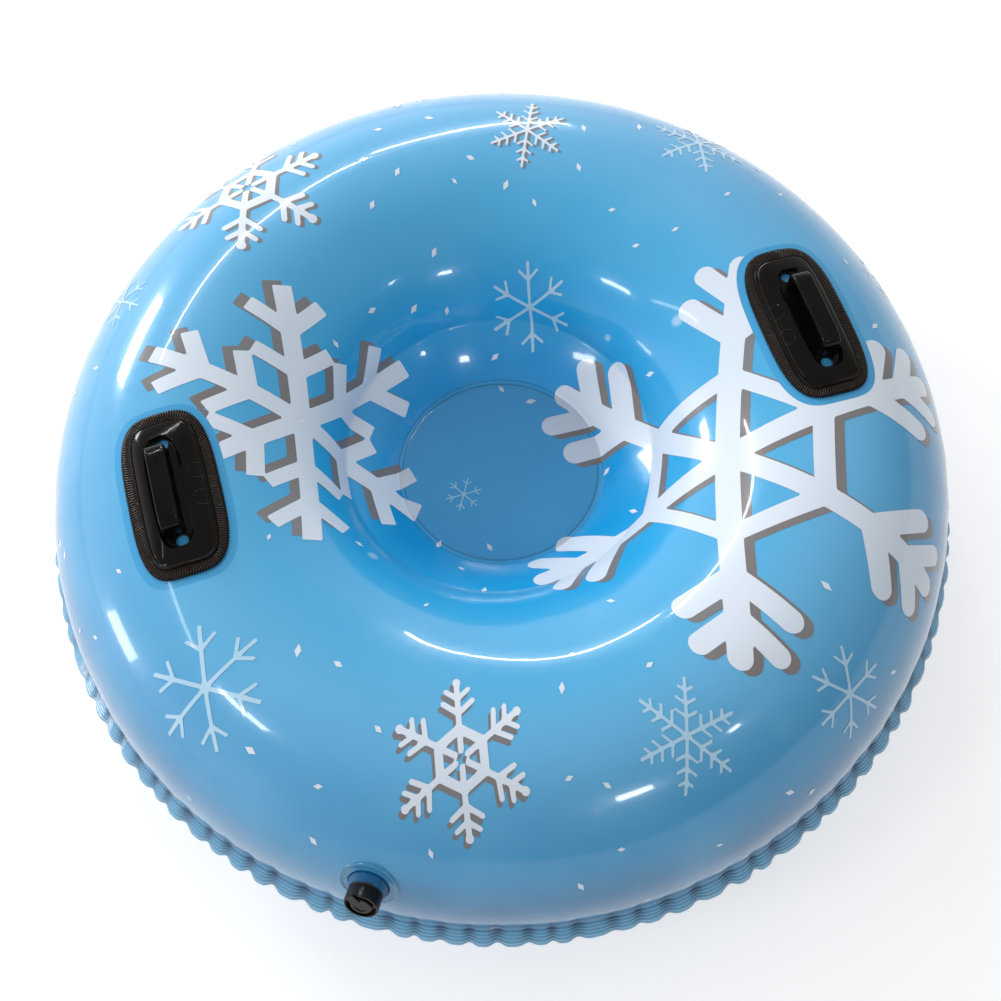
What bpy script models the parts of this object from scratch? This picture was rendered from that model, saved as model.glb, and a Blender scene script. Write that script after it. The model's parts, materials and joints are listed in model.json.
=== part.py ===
"""Inflated ring-shaped snow tube: two vinyl sheets welded along a ruffled rim and round a floor,
two moulded carry handles on the crown, and a screw-in air valve with a plug on a strap."""
import math

import bmesh
import bpy
from mathutils import Matrix, Vector

# Chamber and its sheets
SEAM_RADIUS = 0.479
FLOOR_RADIUS = 0.112
SHEET_THICKNESS = 0.0007
LAYER_CLEARANCE = 0.0003
CHAMBER_STRETCH = 1.12
CONTACT_WIDTH = 0.012
STATIONS = 72
OUTER_STEPS = 6
INNER_STEPS = 5

# Rim flange, which hangs at a slant, and the ruffle that it takes when the flat sheets are blown round
FLANGE_WIDTH = 0.0245
FLANGE_SLANT = math.radians(60)
FOLD_DEPTH = 0.003
EDGE_STEPS = 3
RUFFLE_DEPTH = 0.0045

# Handle pad, which drapes over the crown
HANDLE_LENGTH = 0.178
HANDLE_WIDTH = 0.09
HANDLE_OFFSET = -0.002
HANDLE_CLEARANCE = 0.0005
HANDLE_SQUARENESS = 3.1
HANDLE_STEPS = 48
PAD_EDGE = 0.0014
PAD_BORDER_HEIGHT = 0.0022
PAD_STEP_HEIGHT = 0.0044
PAD_CROWN_HEIGHT = 0.0092
PAD_TOP_SHARES = ((0.0, 1.0), (0.37, 0.97), (0.68, 0.8), (0.88, 0.42), (1.0, 0.0))
PAD_BORDER_INSETS = (0.0008, 0.0104)
PLATEAU_INSET = 0.0118
PAD_UNDERSIDE_SHARES = (1.0, 0.78, 0.52, 0.26)

# Grip bar over its finger pocket, and the moulding holes beyond its feet
GRIP_SHIFT = 0.006
GRIP_WIDTH = 0.019
GRIP_LENGTH = 0.092
GRIP_HEIGHT = 0.028
GRIP_ROUNDING = 0.0018
GRIP_ROOT = 0.002
GRIP_SPAN = 0.076
GRIP_GAP_HEIGHT = 0.0215
GRIP_OUTER_SHARES = ((1.0, 0.5), (0.945, 0.86), (0.875, 1.0))
GRIP_INNER_SHARES = ((1.0, 0.55), (0.93, 0.87), (0.8, 1.0))
POCKET_LENGTH = 0.122
POCKET_WIDTH = 0.037
POCKET_FLOOR = 0.003
POCKET_SHIFT = 0.003
POCKET_FLARE = 0.003
HOLE_RADIUS = 0.0062
HOLE_PITCH = 0.106
HOLE_SHIFT = 0.0005
HOLE_STEPS = 20

# Valve place on the outer shoulder, and the fits between its pieces
VALVE_LEAN = math.radians(61.5)
VALVE_BEARING = math.radians(-121.6)
VALVE_STEPS = 32
FIT = 0.0003
HOLE_FIT = 0.0004
FACET_ALLOWANCE = 0.0017

# Welded base of the valve
BASE_FLANGE_RADIUS = 0.027
BASE_FLANGE_THICKNESS = 0.0012
BASE_FOOT_RADIUS = 0.0197
BASE_FOOT_HEIGHT = 0.002
BASE_RIM_RADIUS = 0.0172
BASE_HEIGHT = 0.0085
BASE_CHAMFER = 0.0006
BASE_BORE_RADIUS = 0.013
BASE_SKIRT_RADIUS = 0.0152
BASE_SKIRT_DEPTH = 0.0075

# Gasket under the collar
SEAL_INNER_RADIUS = 0.0134
SEAL_RADIUS = 0.0162
SEAL_THICKNESS = 0.0014

# Screw-in body: collar, neck, recess, port and the spider that guides the flap
COLLAR_RADIUS = 0.0165
COLLAR_HEIGHT = 0.0128
COLLAR_WALL = 0.0021
COLLAR_CHAMFER = 0.0007
RECESS_DEPTH = 0.004
NECK_LENGTH = 0.02
NECK_CLEARANCE = 0.0003
PORT_RADIUS = 0.008
SEAT_BORE_RADIUS = 0.0112
SEAT_DEPTH = 0.006
SPIDER_THICKNESS = 0.002
HUB_RADIUS = 0.003
HUB_HOLE_RADIUS = 0.0016
SPOKE_WIDTH = 0.0016
SPOKES = 3
SPOKE_OVERRUN = 0.0004

# One-way flap on a stem
FLAP_RADIUS = 0.0098
FLAP_THICKNESS = 0.0012
FLAP_TRAVEL = 0.0025
FLAP_STEPS = 24
STEM_RADIUS = 0.0012
BULB_RADIUS = 0.0021
BULB_LENGTH = 0.0024

# Plug cap that hinges on the collar's rim
CAP_BEARING = math.radians(41)
CAP_RADIUS = 0.0105
CAP_RISE = 0.0004
CAP_DISH_RADIUS = 0.0072
CAP_DISH_DEPTH = 0.0008
PLUG_TOP_RADIUS = 0.0076
PLUG_TIP_RADIUS = 0.006
PLUG_LENGTH = 0.005
STRAP_WIDTH = 0.009
STRAP_THICKNESS = 0.0014
STRAP_SINK = 0.0009
STRAP_LAP = 0.004
BARREL_RADIUS = 0.0009
BARREL_INSET = 0.0005
BARREL_STEPS = 12

# Overrun of every cutter past the face that it cuts
OVERRUN = 0.003

SHARP_ANGLE = 35
SHEET_SHARP_ANGLE = 40
BEVEL_ANGLE = math.radians(50)

SHEET_BLUE = (0.15, 0.47, 0.74)
UNDERSIDE_BLUE = (0.11, 0.38, 0.64)
VALVE_BLUE = (0.02, 0.14, 0.33)
HANDLE_BLACK = (0.012, 0.011, 0.011)
VALVE_BLACK = (0.018, 0.017, 0.018)
SEAL_BLACK = (0.03, 0.03, 0.03)
FLAP_GREY = (0.12, 0.12, 0.12)
VINYL_ROUGHNESS = 0.22
BASE_ROUGHNESS = 0.3
HANDLE_ROUGHNESS = 0.18
GLOSS_ROUGHNESS = 0.25
RUBBER_ROUGHNESS = 0.7


# Section of the chamber: a wrinkled membrane under pressure bends in step with its radius,
# and its vinyl stretches a little in height

def lean(radius, crown):
    """Slope angle of the unstretched section at a radius: zero on the crown, a right angle at the seam."""
    share = (radius ** 2 - crown ** 2) / (SEAM_RADIUS ** 2 - crown ** 2)
    return math.asin(max(-1.0, min(1.0, share)))


def radius_at(angle, crown):
    """Radius at which the section has a given slope angle."""
    return math.sqrt(crown ** 2 + (SEAM_RADIUS ** 2 - crown ** 2) * math.sin(angle))


def height_at(angle, crown):
    """Height of the section above the seam, summed from the seam by Simpson's rule."""
    slices = 40
    span = (math.pi / 2 - angle) / slices
    total = 0.0
    for index in range(slices + 1):
        turn = angle + index * span
        weight = 1 if index in (0, slices) else 4 if index % 2 else 2
        total += weight * math.sin(turn) / radius_at(turn, crown)
    return CHAMBER_STRETCH * (SEAM_RADIUS ** 2 - crown ** 2) * total * span / 6


def find_crown():
    """Crown radius that brings the inner end of the section back to the height of the seam."""
    low, high = FLOOR_RADIUS, SEAM_RADIUS
    for _ in range(50):
        crown = (low + high) / 2
        if height_at(lean(FLOOR_RADIUS, crown), crown) > 0:
            low = crown
        else:
            high = crown
    return crown


CROWN_RADIUS = find_crown()
VALVE_RADIUS = radius_at(VALVE_LEAN, CROWN_RADIUS)
LAYER = (SHEET_THICKNESS + LAYER_CLEARANCE) / 2


def wall_height(radius):
    """Height of a sheet's middle surface above the seam plane at a radius."""
    return LAYER + height_at(lean(radius, CROWN_RADIUS), CROWN_RADIUS)


CONTACT_HEIGHT = min(wall_height(CROWN_RADIUS + side * CONTACT_WIDTH / 2) for side in (-1, 1))
SEAM_HEIGHT = CONTACT_HEIGHT + SHEET_THICKNESS / 2


def flange_point(distance, layer):
    """Point of the slanting flange: distance from the seam, and height over its middle plane."""
    level, fall = math.cos(FLANGE_SLANT), math.sin(FLANGE_SLANT)
    return SEAM_RADIUS + distance * level + layer * fall, layer * level - distance * fall


def flange_line(side):
    """Flange of a sheet from its edge to the wall, with heights counted away from the seam plane.

    The top wall runs on into the flange. The bottom wall folds over to lie under it."""
    corner = LAYER / math.cos(FLANGE_SLANT)
    lap = FOLD_DEPTH + LAYER * math.tan(FLANGE_SLANT)
    line = []
    for distance in (FLANGE_WIDTH, lap):
        radius, height = flange_point(distance, side * LAYER)
        line.append((radius, side * height))
    line.append((SEAM_RADIUS, corner if side > 0 else corner + FOLD_DEPTH))
    return line


def section(side):
    """Middle line of a sheet as radius and height, from the rim inwards to the centre."""
    floor_angle = lean(FLOOR_RADIUS, CROWN_RADIUS)
    angles = [math.pi / 2 * (1 - step / OUTER_STEPS) for step in range(1, OUTER_STEPS)]
    inner = [floor_angle * step / INNER_STEPS for step in range(1, INNER_STEPS)]
    line = flange_line(side)
    line += [(radius_at(angle, CROWN_RADIUS), LAYER + height_at(angle, CROWN_RADIUS)) for angle in angles]
    if side < 0:
        line += [(CROWN_RADIUS + side * CONTACT_WIDTH / 2, CONTACT_HEIGHT) for side in (1, -1)]
    else:
        line.append((CROWN_RADIUS, wall_height(CROWN_RADIUS)))
    line += [(radius_at(angle, CROWN_RADIUS), LAYER + height_at(angle, CROWN_RADIUS)) for angle in inner]
    return line + [(FLOOR_RADIUS, LAYER), (0, LAYER)]


def offset_line(line, distance):
    """Line moved sideways by a distance, with mitred corners; its right-hand side is outwards."""
    normals = []
    for start, end in zip(line, line[1:]):
        run = Vector((end[0] - start[0], end[1] - start[1])).normalized()
        normals.append(Vector((run.y, -run.x)))
    moved = []
    for index, point in enumerate(line):
        before = normals[max(index - 1, 0)]
        after = normals[min(index, len(normals) - 1)]
        mitre = (before + after) / (1 + before.dot(after))
        moved.append((point[0] + mitre.x * distance, point[1] + mitre.y * distance))
    return moved


# Mesh helpers

def new_object(name, mesh_builder, colour, roughness, sharp_angle=SHARP_ANGLE):
    """Object made from a bmesh, with its own material, smooth faces and sharp corners."""
    mesh = bpy.data.meshes.new(name)
    bmesh.ops.recalc_face_normals(mesh_builder, faces=mesh_builder.faces)
    mesh_builder.to_mesh(mesh)
    mesh_builder.free()
    obj = bpy.data.objects.new(name, mesh)
    bpy.context.scene.collection.objects.link(obj)
    finish(obj, colour, roughness, sharp_angle)
    return obj


def finish(obj, colour, roughness, sharp_angle=SHARP_ANGLE):
    """Principled material of an object and its smooth shading."""
    material = bpy.data.materials.new(obj.name)
    material.use_nodes = True
    shader = material.node_tree.nodes["Principled BSDF"]
    shader.inputs["Base Color"].default_value = (*colour, 1)
    shader.inputs["Roughness"].default_value = roughness
    shader.inputs["Metallic"].default_value = 0
    obj.data.materials.clear()
    obj.data.materials.append(material)
    obj.data.shade_smooth()
    obj.data.set_sharp_from_angle(angle=math.radians(sharp_angle))


def cut(obj, cutter, operation="DIFFERENCE"):
    """Boolean of an object with a cutter, which the build leaves out."""
    modifier = obj.modifiers.new(cutter.name, "BOOLEAN")
    modifier.operation = operation
    modifier.object = cutter
    cutter.hide_render = True
    cutter.display_type = "WIRE"


def bake(obj):
    """Replace an object's mesh with what its modifiers make of it."""
    graph = bpy.context.evaluated_depsgraph_get()
    mesh = bpy.data.meshes.new_from_object(obj.evaluated_get(graph))
    obj.modifiers.clear()
    obj.data = mesh


def bridge(builder, first, second):
    """Faces between two closed rings of vertices; the second may have more, or be a single point."""
    if len(second) == 1:
        for index, vertex in enumerate(first):
            builder.faces.new((vertex, first[(index + 1) % len(first)], second[0]))
        return
    ratio = len(second) // len(first)
    for index, vertex in enumerate(first):
        following = first[(index + 1) % len(first)]
        fan = [second[(index * ratio + step) % len(second)] for step in range(ratio + 1)]
        middle = ratio // 2
        for step in range(ratio):
            if step == middle:
                builder.faces.new((vertex, following, fan[step + 1], fan[step]))
            else:
                apex = vertex if step < middle else following
                builder.faces.new((apex, fan[step + 1], fan[step]))


def turned(builder, profile, steps, drop=None):
    """Solid turned about Z from a closed profile of radius and height; drop lowers marked points."""
    rings = []
    for point in profile:
        radius, height = point[0], point[1]
        follows = len(point) > 2
        if radius == 0:
            rings.append([builder.verts.new((0, 0, height))])
            continue
        ring = []
        for step in range(steps):
            angle = 2 * math.pi * step / steps
            x, y = radius * math.cos(angle), radius * math.sin(angle)
            ring.append(builder.verts.new((x, y, height - (drop(x, y) if follows else 0))))
        rings.append(ring)
    closed = profile[0][0] != 0
    for index in range(len(rings) if closed else len(rings) - 1):
        first, second = rings[index], rings[(index + 1) % len(rings)]
        if len(first) == 1:
            first, second = second, first
        bridge(builder, first, second)


def cylinder(name, radius, low, high, steps, centre=(0, 0)):
    """Plain upright cylinder for cutting."""
    builder = bmesh.new()
    turned(builder, [(0, low), (radius, low), (radius, high), (0, high)], steps)
    bmesh.ops.translate(builder, verts=builder.verts, vec=(*centre, 0))
    return new_object(name, builder, SEAL_BLACK, RUBBER_ROUGHNESS)


def extruded(builder, outline, thickness, place):
    """Prism from an outline of two coordinates, centred on its own plane and turned by a matrix."""
    near = [builder.verts.new(place @ Vector((x, y, -thickness / 2))) for x, y in outline]
    far = [builder.verts.new(place @ Vector((x, y, thickness / 2))) for x, y in outline]
    builder.faces.new(near)
    builder.faces.new(far)
    for index in range(len(outline)):
        following = (index + 1) % len(outline)
        builder.faces.new((near[index], near[following], far[following], far[index]))


# Sheets

def sheet_skin(builder, line, side):
    """One face of a sheet as rings of vertices, ruffled along its rim."""
    rings = []
    for index, (radius, height) in enumerate(line):
        if radius <= 0:
            rings.append([builder.verts.new((0, 0, SEAM_HEIGHT + side * height))])
            continue
        rim = index == 0
        count = STATIONS * EDGE_STEPS if rim else STATIONS
        ring = []
        for step in range(count):
            angle = 2 * math.pi * step / count
            wave = RUFFLE_DEPTH * math.cos(math.pi * step) if rim else 0
            reach = radius + wave * math.sin(FLANGE_SLANT)
            rise = side * height + wave * math.cos(FLANGE_SLANT)
            place = (reach * math.cos(angle), reach * math.sin(angle), SEAM_HEIGHT + rise)
            ring.append(builder.verts.new(place))
        rings.append(ring)
    for outer, inner in zip(rings, rings[1:]):
        if len(outer) > len(inner) > 1:
            bridge(builder, inner, outer)
        else:
            bridge(builder, outer, inner)
    return rings[0]


def make_sheet(name, side, colour):
    """Welded disc of vinyl, blown up into half of the chamber: side is 1 for the top, -1 below."""
    line = section(side)
    builder = bmesh.new()
    outside = sheet_skin(builder, offset_line(line, SHEET_THICKNESS / 2), side)
    inside = sheet_skin(builder, offset_line(line, -SHEET_THICKNESS / 2), side)
    bridge(builder, outside, inside)
    return new_object(name, builder, colour, VINYL_ROUGHNESS, SHEET_SHARP_ANGLE)


# Valve frame: Z points out of the wall, X up the wall towards the crown

def valve_frame():
    slope = math.atan(CHAMBER_STRETCH * math.tan(VALVE_LEAN))
    outwards = Vector((math.cos(VALVE_BEARING), math.sin(VALVE_BEARING), 0))
    normal = outwards * math.sin(slope) + Vector((0, 0, math.cos(slope)))
    uphill = Vector((0, 0, math.sin(slope))) - outwards * math.cos(slope)
    across = normal.cross(uphill)
    middle = outwards * VALVE_RADIUS + Vector((0, 0, SEAM_HEIGHT + wall_height(VALVE_RADIUS)))
    turn = Matrix((uphill, across, normal)).transposed().to_4x4()
    return Matrix.Translation(middle + normal * SHEET_THICKNESS / 2) @ turn


def wall_drop(x, y):
    """How far the wall falls away from its tangent plane at the valve."""
    bend = SEAM_RADIUS ** 2 - CROWN_RADIUS ** 2
    slope = math.atan(CHAMBER_STRETCH * math.tan(VALVE_LEAN))
    flattening = (math.cos(slope) / math.cos(VALVE_LEAN)) ** 3
    along = CHAMBER_STRETCH * flattening * 2 * VALVE_RADIUS / bend
    round_ring = math.sin(slope) / VALVE_RADIUS
    return (along * x ** 2 + round_ring * y ** 2) / 2


FLANGE_TOP = -(SHEET_THICKNESS + FIT + FACET_ALLOWANCE)
SEAL_LOW = BASE_HEIGHT + FIT
COLLAR_LOW = SEAL_LOW + SEAL_THICKNESS + FIT
COLLAR_TOP = COLLAR_LOW + COLLAR_HEIGHT
RECESS_FLOOR = COLLAR_TOP - RECESS_DEPTH
RECESS_RADIUS = COLLAR_RADIUS - COLLAR_WALL
NECK_RADIUS = BASE_BORE_RADIUS - NECK_CLEARANCE
NECK_LOW = COLLAR_LOW - NECK_LENGTH
SEAT_HEIGHT = NECK_LOW + SEAT_DEPTH
SPIDER_TOP = SEAT_HEIGHT + SPIDER_THICKNESS


def make_valve_base(frame):
    """Welded base: a flange that follows the wall from inside, a tapered boss and a bored skirt."""
    flange_low = FLANGE_TOP - BASE_FLANGE_THICKNESS
    profile = [
        (BASE_BORE_RADIUS, BASE_HEIGHT - BASE_CHAMFER),
        (BASE_BORE_RADIUS + BASE_CHAMFER, BASE_HEIGHT),
        (BASE_RIM_RADIUS - BASE_CHAMFER, BASE_HEIGHT),
        (BASE_RIM_RADIUS, BASE_HEIGHT - BASE_CHAMFER),
        (BASE_FOOT_RADIUS, BASE_FOOT_HEIGHT),
        (BASE_FOOT_RADIUS, FLANGE_TOP, "follows"),
        (BASE_FLANGE_RADIUS, FLANGE_TOP, "follows"),
        (BASE_FLANGE_RADIUS, flange_low, "follows"),
        (BASE_FOOT_RADIUS, flange_low, "follows"),
        (BASE_SKIRT_RADIUS, flange_low, "follows"),
        (BASE_SKIRT_RADIUS, -BASE_SKIRT_DEPTH),
        (BASE_BORE_RADIUS, -BASE_SKIRT_DEPTH),
    ]
    builder = bmesh.new()
    turned(builder, profile, VALVE_STEPS, wall_drop)
    obj = new_object("valve_base", builder, VALVE_BLUE, BASE_ROUGHNESS)
    obj.parent = frame
    return obj


def make_valve_seal(frame):
    """Flat gasket between the boss and the collar."""
    high = SEAL_LOW + SEAL_THICKNESS
    lower = [(SEAL_INNER_RADIUS, SEAL_LOW), (SEAL_RADIUS, SEAL_LOW)]
    profile = lower + [(SEAL_RADIUS, high), (SEAL_INNER_RADIUS, high)]
    builder = bmesh.new()
    turned(builder, profile, VALVE_STEPS)
    obj = new_object("valve_seal", builder, SEAL_BLACK, RUBBER_ROUGHNESS)
    obj.parent = frame
    return obj


def make_valve_body(frame):
    """Screw-in body: collar with a recessed top, port, neck, and a spoked seat for the flap."""
    profile = [
        (COLLAR_RADIUS, COLLAR_TOP - COLLAR_CHAMFER),
        (COLLAR_RADIUS, COLLAR_LOW + COLLAR_CHAMFER),
        (COLLAR_RADIUS - COLLAR_CHAMFER, COLLAR_LOW),
        (NECK_RADIUS, COLLAR_LOW),
        (NECK_RADIUS, NECK_LOW + COLLAR_CHAMFER),
        (NECK_RADIUS - COLLAR_CHAMFER, NECK_LOW),
        (SEAT_BORE_RADIUS, NECK_LOW),
        (SEAT_BORE_RADIUS, SEAT_HEIGHT),
        (PORT_RADIUS, SEAT_HEIGHT),
        (PORT_RADIUS, RECESS_FLOOR),
        (RECESS_RADIUS, RECESS_FLOOR),
        (RECESS_RADIUS, COLLAR_TOP),
        (COLLAR_RADIUS - COLLAR_CHAMFER, COLLAR_TOP),
    ]
    builder = bmesh.new()
    turned(builder, profile, VALVE_STEPS)
    body = new_object("valve_body", builder, VALVE_BLACK, GLOSS_ROUGHNESS)
    builder = bmesh.new()
    hub = [(HUB_HOLE_RADIUS, SEAT_HEIGHT), (HUB_RADIUS, SEAT_HEIGHT)]
    hub += [(HUB_RADIUS, SPIDER_TOP), (HUB_HOLE_RADIUS, SPIDER_TOP)]
    turned(builder, hub, FLAP_STEPS)
    spider = new_object("valve_spider_hub", builder, VALVE_BLACK, GLOSS_ROUGHNESS)
    inner = (HUB_HOLE_RADIUS + HUB_RADIUS) / 2
    outer = PORT_RADIUS + SPOKE_OVERRUN
    for index in range(SPOKES):
        builder = bmesh.new()
        half = SPOKE_WIDTH / 2
        plan = [(inner, -half), (outer, -half), (outer, half), (inner, half)]
        middle = Matrix.Translation((0, 0, SEAT_HEIGHT + SPIDER_THICKNESS / 2))
        turn = Matrix.Rotation(2 * math.pi * index / SPOKES, 4, "Z")
        extruded(builder, plan, SPIDER_THICKNESS, turn @ middle)
        spoke = new_object(f"valve_spoke_{index}", builder, VALVE_BLACK, GLOSS_ROUGHNESS)
        cut(spider, spoke, "UNION")
    bake(spider)
    cut(body, spider, "UNION")
    bake(body)
    finish(body, VALVE_BLACK, GLOSS_ROUGHNESS)
    body.parent = frame
    return body


def make_valve_flap(frame):
    """Rubber one-way flap under the seat, held by a stem whose bulb lies above the hub."""
    high = SEAT_HEIGHT - FIT
    low = high - FLAP_THICKNESS
    bulb_low = SPIDER_TOP + FIT + FLAP_TRAVEL
    profile = [
        (0, low),
        (FLAP_RADIUS, low),
        (FLAP_RADIUS, high),
        (STEM_RADIUS, high),
        (STEM_RADIUS, bulb_low),
        (BULB_RADIUS, bulb_low),
        (BULB_RADIUS, bulb_low + BULB_LENGTH / 2),
        (STEM_RADIUS, bulb_low + BULB_LENGTH),
        (0, bulb_low + BULB_LENGTH),
    ]
    builder = bmesh.new()
    turned(builder, profile, FLAP_STEPS)
    obj = new_object("valve_flap", builder, FLAP_GREY, RUBBER_ROUGHNESS)
    obj.parent = frame
    return obj


def make_valve_cap(frame):
    """Plug cap: a dished disc over a tapered plug, on a strap that hinges at the collar's rim."""
    hinge = Vector((COLLAR_RADIUS - BARREL_INSET, 0, COLLAR_TOP + FIT + BARREL_RADIUS))
    disc_low = RECESS_FLOOR + FIT
    disc_high = COLLAR_TOP + CAP_RISE
    dish_low = disc_high - CAP_DISH_DEPTH
    profile = [
        (0, disc_low - PLUG_LENGTH),
        (PLUG_TIP_RADIUS, disc_low - PLUG_LENGTH),
        (PLUG_TOP_RADIUS, disc_low),
        (CAP_RADIUS, disc_low),
        (CAP_RADIUS, disc_high - CAP_DISH_DEPTH),
        (CAP_RADIUS - CAP_DISH_DEPTH, disc_high),
        (CAP_DISH_RADIUS, disc_high),
        (CAP_DISH_RADIUS - CAP_DISH_DEPTH, dish_low),
        (0, dish_low),
    ]
    builder = bmesh.new()
    turned(builder, profile, VALVE_STEPS)
    cap = new_object("valve_cap", builder, VALVE_BLACK, GLOSS_ROUGHNESS)
    strap_low = COLLAR_TOP + FIT
    strap_high = strap_low + STRAP_THICKNESS
    lap_start = RECESS_RADIUS - 2 * FIT
    strap_end = CAP_RADIUS - STRAP_LAP
    outline = [
        (hinge.x, strap_low),
        (lap_start, strap_low),
        (lap_start - STRAP_SINK, strap_low - STRAP_SINK),
        (strap_end, strap_low - STRAP_SINK),
        (strap_end, strap_high),
        (hinge.x, strap_high),
    ]
    upright = Matrix.Rotation(math.pi / 2, 4, "X")
    builder = bmesh.new()
    extruded(builder, outline, STRAP_WIDTH, upright)
    strap = new_object("valve_cap_strap", builder, VALVE_BLACK, GLOSS_ROUGHNESS)
    builder = bmesh.new()
    turns = [2 * math.pi * step / BARREL_STEPS for step in range(BARREL_STEPS)]
    points = [(BARREL_RADIUS * math.cos(turn), BARREL_RADIUS * math.sin(turn)) for turn in turns]
    circle = [(hinge.x + x, hinge.z + y) for x, y in points]
    extruded(builder, circle, STRAP_WIDTH, upright)
    barrel = new_object("valve_cap_barrel", builder, VALVE_BLACK, GLOSS_ROUGHNESS)
    cut(strap, barrel, "UNION")
    bake(strap)
    cut(cap, strap, "UNION")
    bake(cap)
    cap.data.transform(Matrix.Translation(-hinge))
    finish(cap, VALVE_BLACK, GLOSS_ROUGHNESS)
    cap.parent = frame
    cap.matrix_parent_inverse = Matrix.Identity(4)
    cap.matrix_basis = Matrix.Rotation(CAP_BEARING, 4, "Z") @ Matrix.Translation(hinge)
    return cap


# Handles

def rounded_outline(half_width, half_length):
    """Ring of points on a rounded rectangle."""
    ring = []
    for step in range(HANDLE_STEPS):
        angle = 2 * math.pi * step / HANDLE_STEPS
        power = 2 / HANDLE_SQUARENESS
        x = math.copysign(abs(math.cos(angle)) ** power, math.cos(angle))
        y = math.copysign(abs(math.sin(angle)) ** power, math.sin(angle))
        ring.append((x * half_width, y * half_length))
    return ring


def make_flat_pad(name):
    """Handle pad before it drapes: thin edge, border land, step and a low crown, flat underneath."""
    levels = [(0, share, 0) for share in reversed(PAD_UNDERSIDE_SHARES)]
    levels.append((0, 1, PAD_EDGE))
    levels += [(inset, 1, PAD_BORDER_HEIGHT) for inset in PAD_BORDER_INSETS]
    swell = PAD_CROWN_HEIGHT - PAD_STEP_HEIGHT
    dome = [level for level in reversed(PAD_TOP_SHARES) if level[0] > 0]
    levels += [(PLATEAU_INSET, share, PAD_STEP_HEIGHT + rise * swell) for share, rise in dome]
    builder = bmesh.new()
    rings = []
    for inset, share, height in levels:
        half_width = share * (HANDLE_WIDTH / 2 - inset)
        half_length = share * (HANDLE_LENGTH / 2 - inset)
        outline = rounded_outline(half_width, half_length)
        rings.append([builder.verts.new((x, y, height)) for x, y in outline])
    bridge(builder, rings[0], [builder.verts.new((0, 0, 0))])
    for first, second in zip(rings, rings[1:]):
        bridge(builder, first, second)
    bridge(builder, rings[-1], [builder.verts.new((0, 0, PAD_CROWN_HEIGHT))])
    return new_object(name, builder, HANDLE_BLACK, HANDLE_ROUGHNESS)


def make_grip(name):
    """Grip bar: an arch in side view, as wide as the bar, with rounded edges."""
    half, inner_half = GRIP_LENGTH / 2, GRIP_SPAN / 2
    outer = [(half, GRIP_ROOT)] + [(along * half, up * GRIP_HEIGHT) for along, up in GRIP_OUTER_SHARES]
    arch = [(along * inner_half, up * GRIP_GAP_HEIGHT) for along, up in GRIP_INNER_SHARES]
    inner = [(inner_half, GRIP_ROOT)] + arch
    over = outer + [(-along, up) for along, up in reversed(outer)]
    under = [(-along, up) for along, up in inner] + list(reversed(inner))
    builder = bmesh.new()
    upright = Matrix(((0, 0, 1, GRIP_SHIFT), (1, 0, 0, 0), (0, 1, 0, 0), (0, 0, 0, 1)))
    extruded(builder, over + under, GRIP_WIDTH, upright)
    grip = new_object(name, builder, HANDLE_BLACK, HANDLE_ROUGHNESS)
    rounding = grip.modifiers.new("rounding", "BEVEL")
    rounding.width = GRIP_ROUNDING
    rounding.segments = 2
    rounding.limit_method = "ANGLE"
    rounding.angle_limit = BEVEL_ANGLE
    return grip


def make_pocket(name):
    """Long flared pocket that hollows the pad under the grip, where the fingers go."""
    top = PAD_CROWN_HEIGHT + OVERRUN
    flare = POCKET_FLARE * (top - POCKET_FLOOR) / (PAD_CROWN_HEIGHT - POCKET_FLOOR)
    builder = bmesh.new()
    rings = []
    for inset, height in ((POCKET_FLARE, POCKET_FLOOR), (POCKET_FLARE - flare, top)):
        outline = rounded_outline(POCKET_WIDTH / 2 - inset, POCKET_LENGTH / 2 - inset)
        rings.append([builder.verts.new((POCKET_SHIFT + x, y, height)) for x, y in outline])
    bridge(builder, *rings)
    for ring in rings:
        builder.faces.new(ring)
    return new_object(name, builder, HANDLE_BLACK, HANDLE_ROUGHNESS)


def make_handle(name, side):
    """Moulded handle: the flat moulding is built first, then draped over the crown of the top sheet."""
    pad = make_flat_pad(name)
    pocket = make_pocket(f"{name}_pocket")
    grip = make_grip(f"{name}_grip")
    cut(pad, pocket)
    cut(pad, grip, "UNION")
    for end in (-1, 1):
        centre = (HOLE_SHIFT, end * HOLE_PITCH / 2)
        top = PAD_CROWN_HEIGHT + OVERRUN
        cut(pad, cylinder(f"{name}_hole_{end}", HOLE_RADIUS, -OVERRUN, top, HOLE_STEPS, centre))
    bake(pad)
    centre_radius = CROWN_RADIUS + HANDLE_OFFSET
    lift = SEAM_HEIGHT + SHEET_THICKNESS / 2 + HANDLE_CLEARANCE
    for vertex in pad.data.vertices:
        x, y, height = vertex.co
        radius = math.hypot(centre_radius + x, y)
        vertex.co = (side * (centre_radius + x), side * y, lift + wall_height(radius) + height)
    finish(pad, HANDLE_BLACK, HANDLE_ROUGHNESS)
    return pad


def main():
    for obj in list(bpy.data.objects):
        bpy.data.objects.remove(obj)
    top = make_sheet("top_sheet", 1, SHEET_BLUE)
    make_sheet("bottom_sheet", -1, UNDERSIDE_BLUE)
    frame = bpy.data.objects.new("valve_frame", None)
    bpy.context.scene.collection.objects.link(frame)
    frame.matrix_world = valve_frame()
    hole_radius = BASE_FOOT_RADIUS + HOLE_FIT
    opening = cylinder("valve_opening", hole_radius, -BASE_SKIRT_DEPTH, BASE_HEIGHT, VALVE_STEPS)
    opening.parent = frame
    cut(top, opening)
    make_valve_base(frame)
    make_valve_seal(frame)
    make_valve_body(frame)
    make_valve_flap(frame)
    make_valve_cap(frame)
    make_handle("handle_left", -1)
    make_handle("handle_right", 1)


main()
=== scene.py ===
import json
import math

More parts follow.
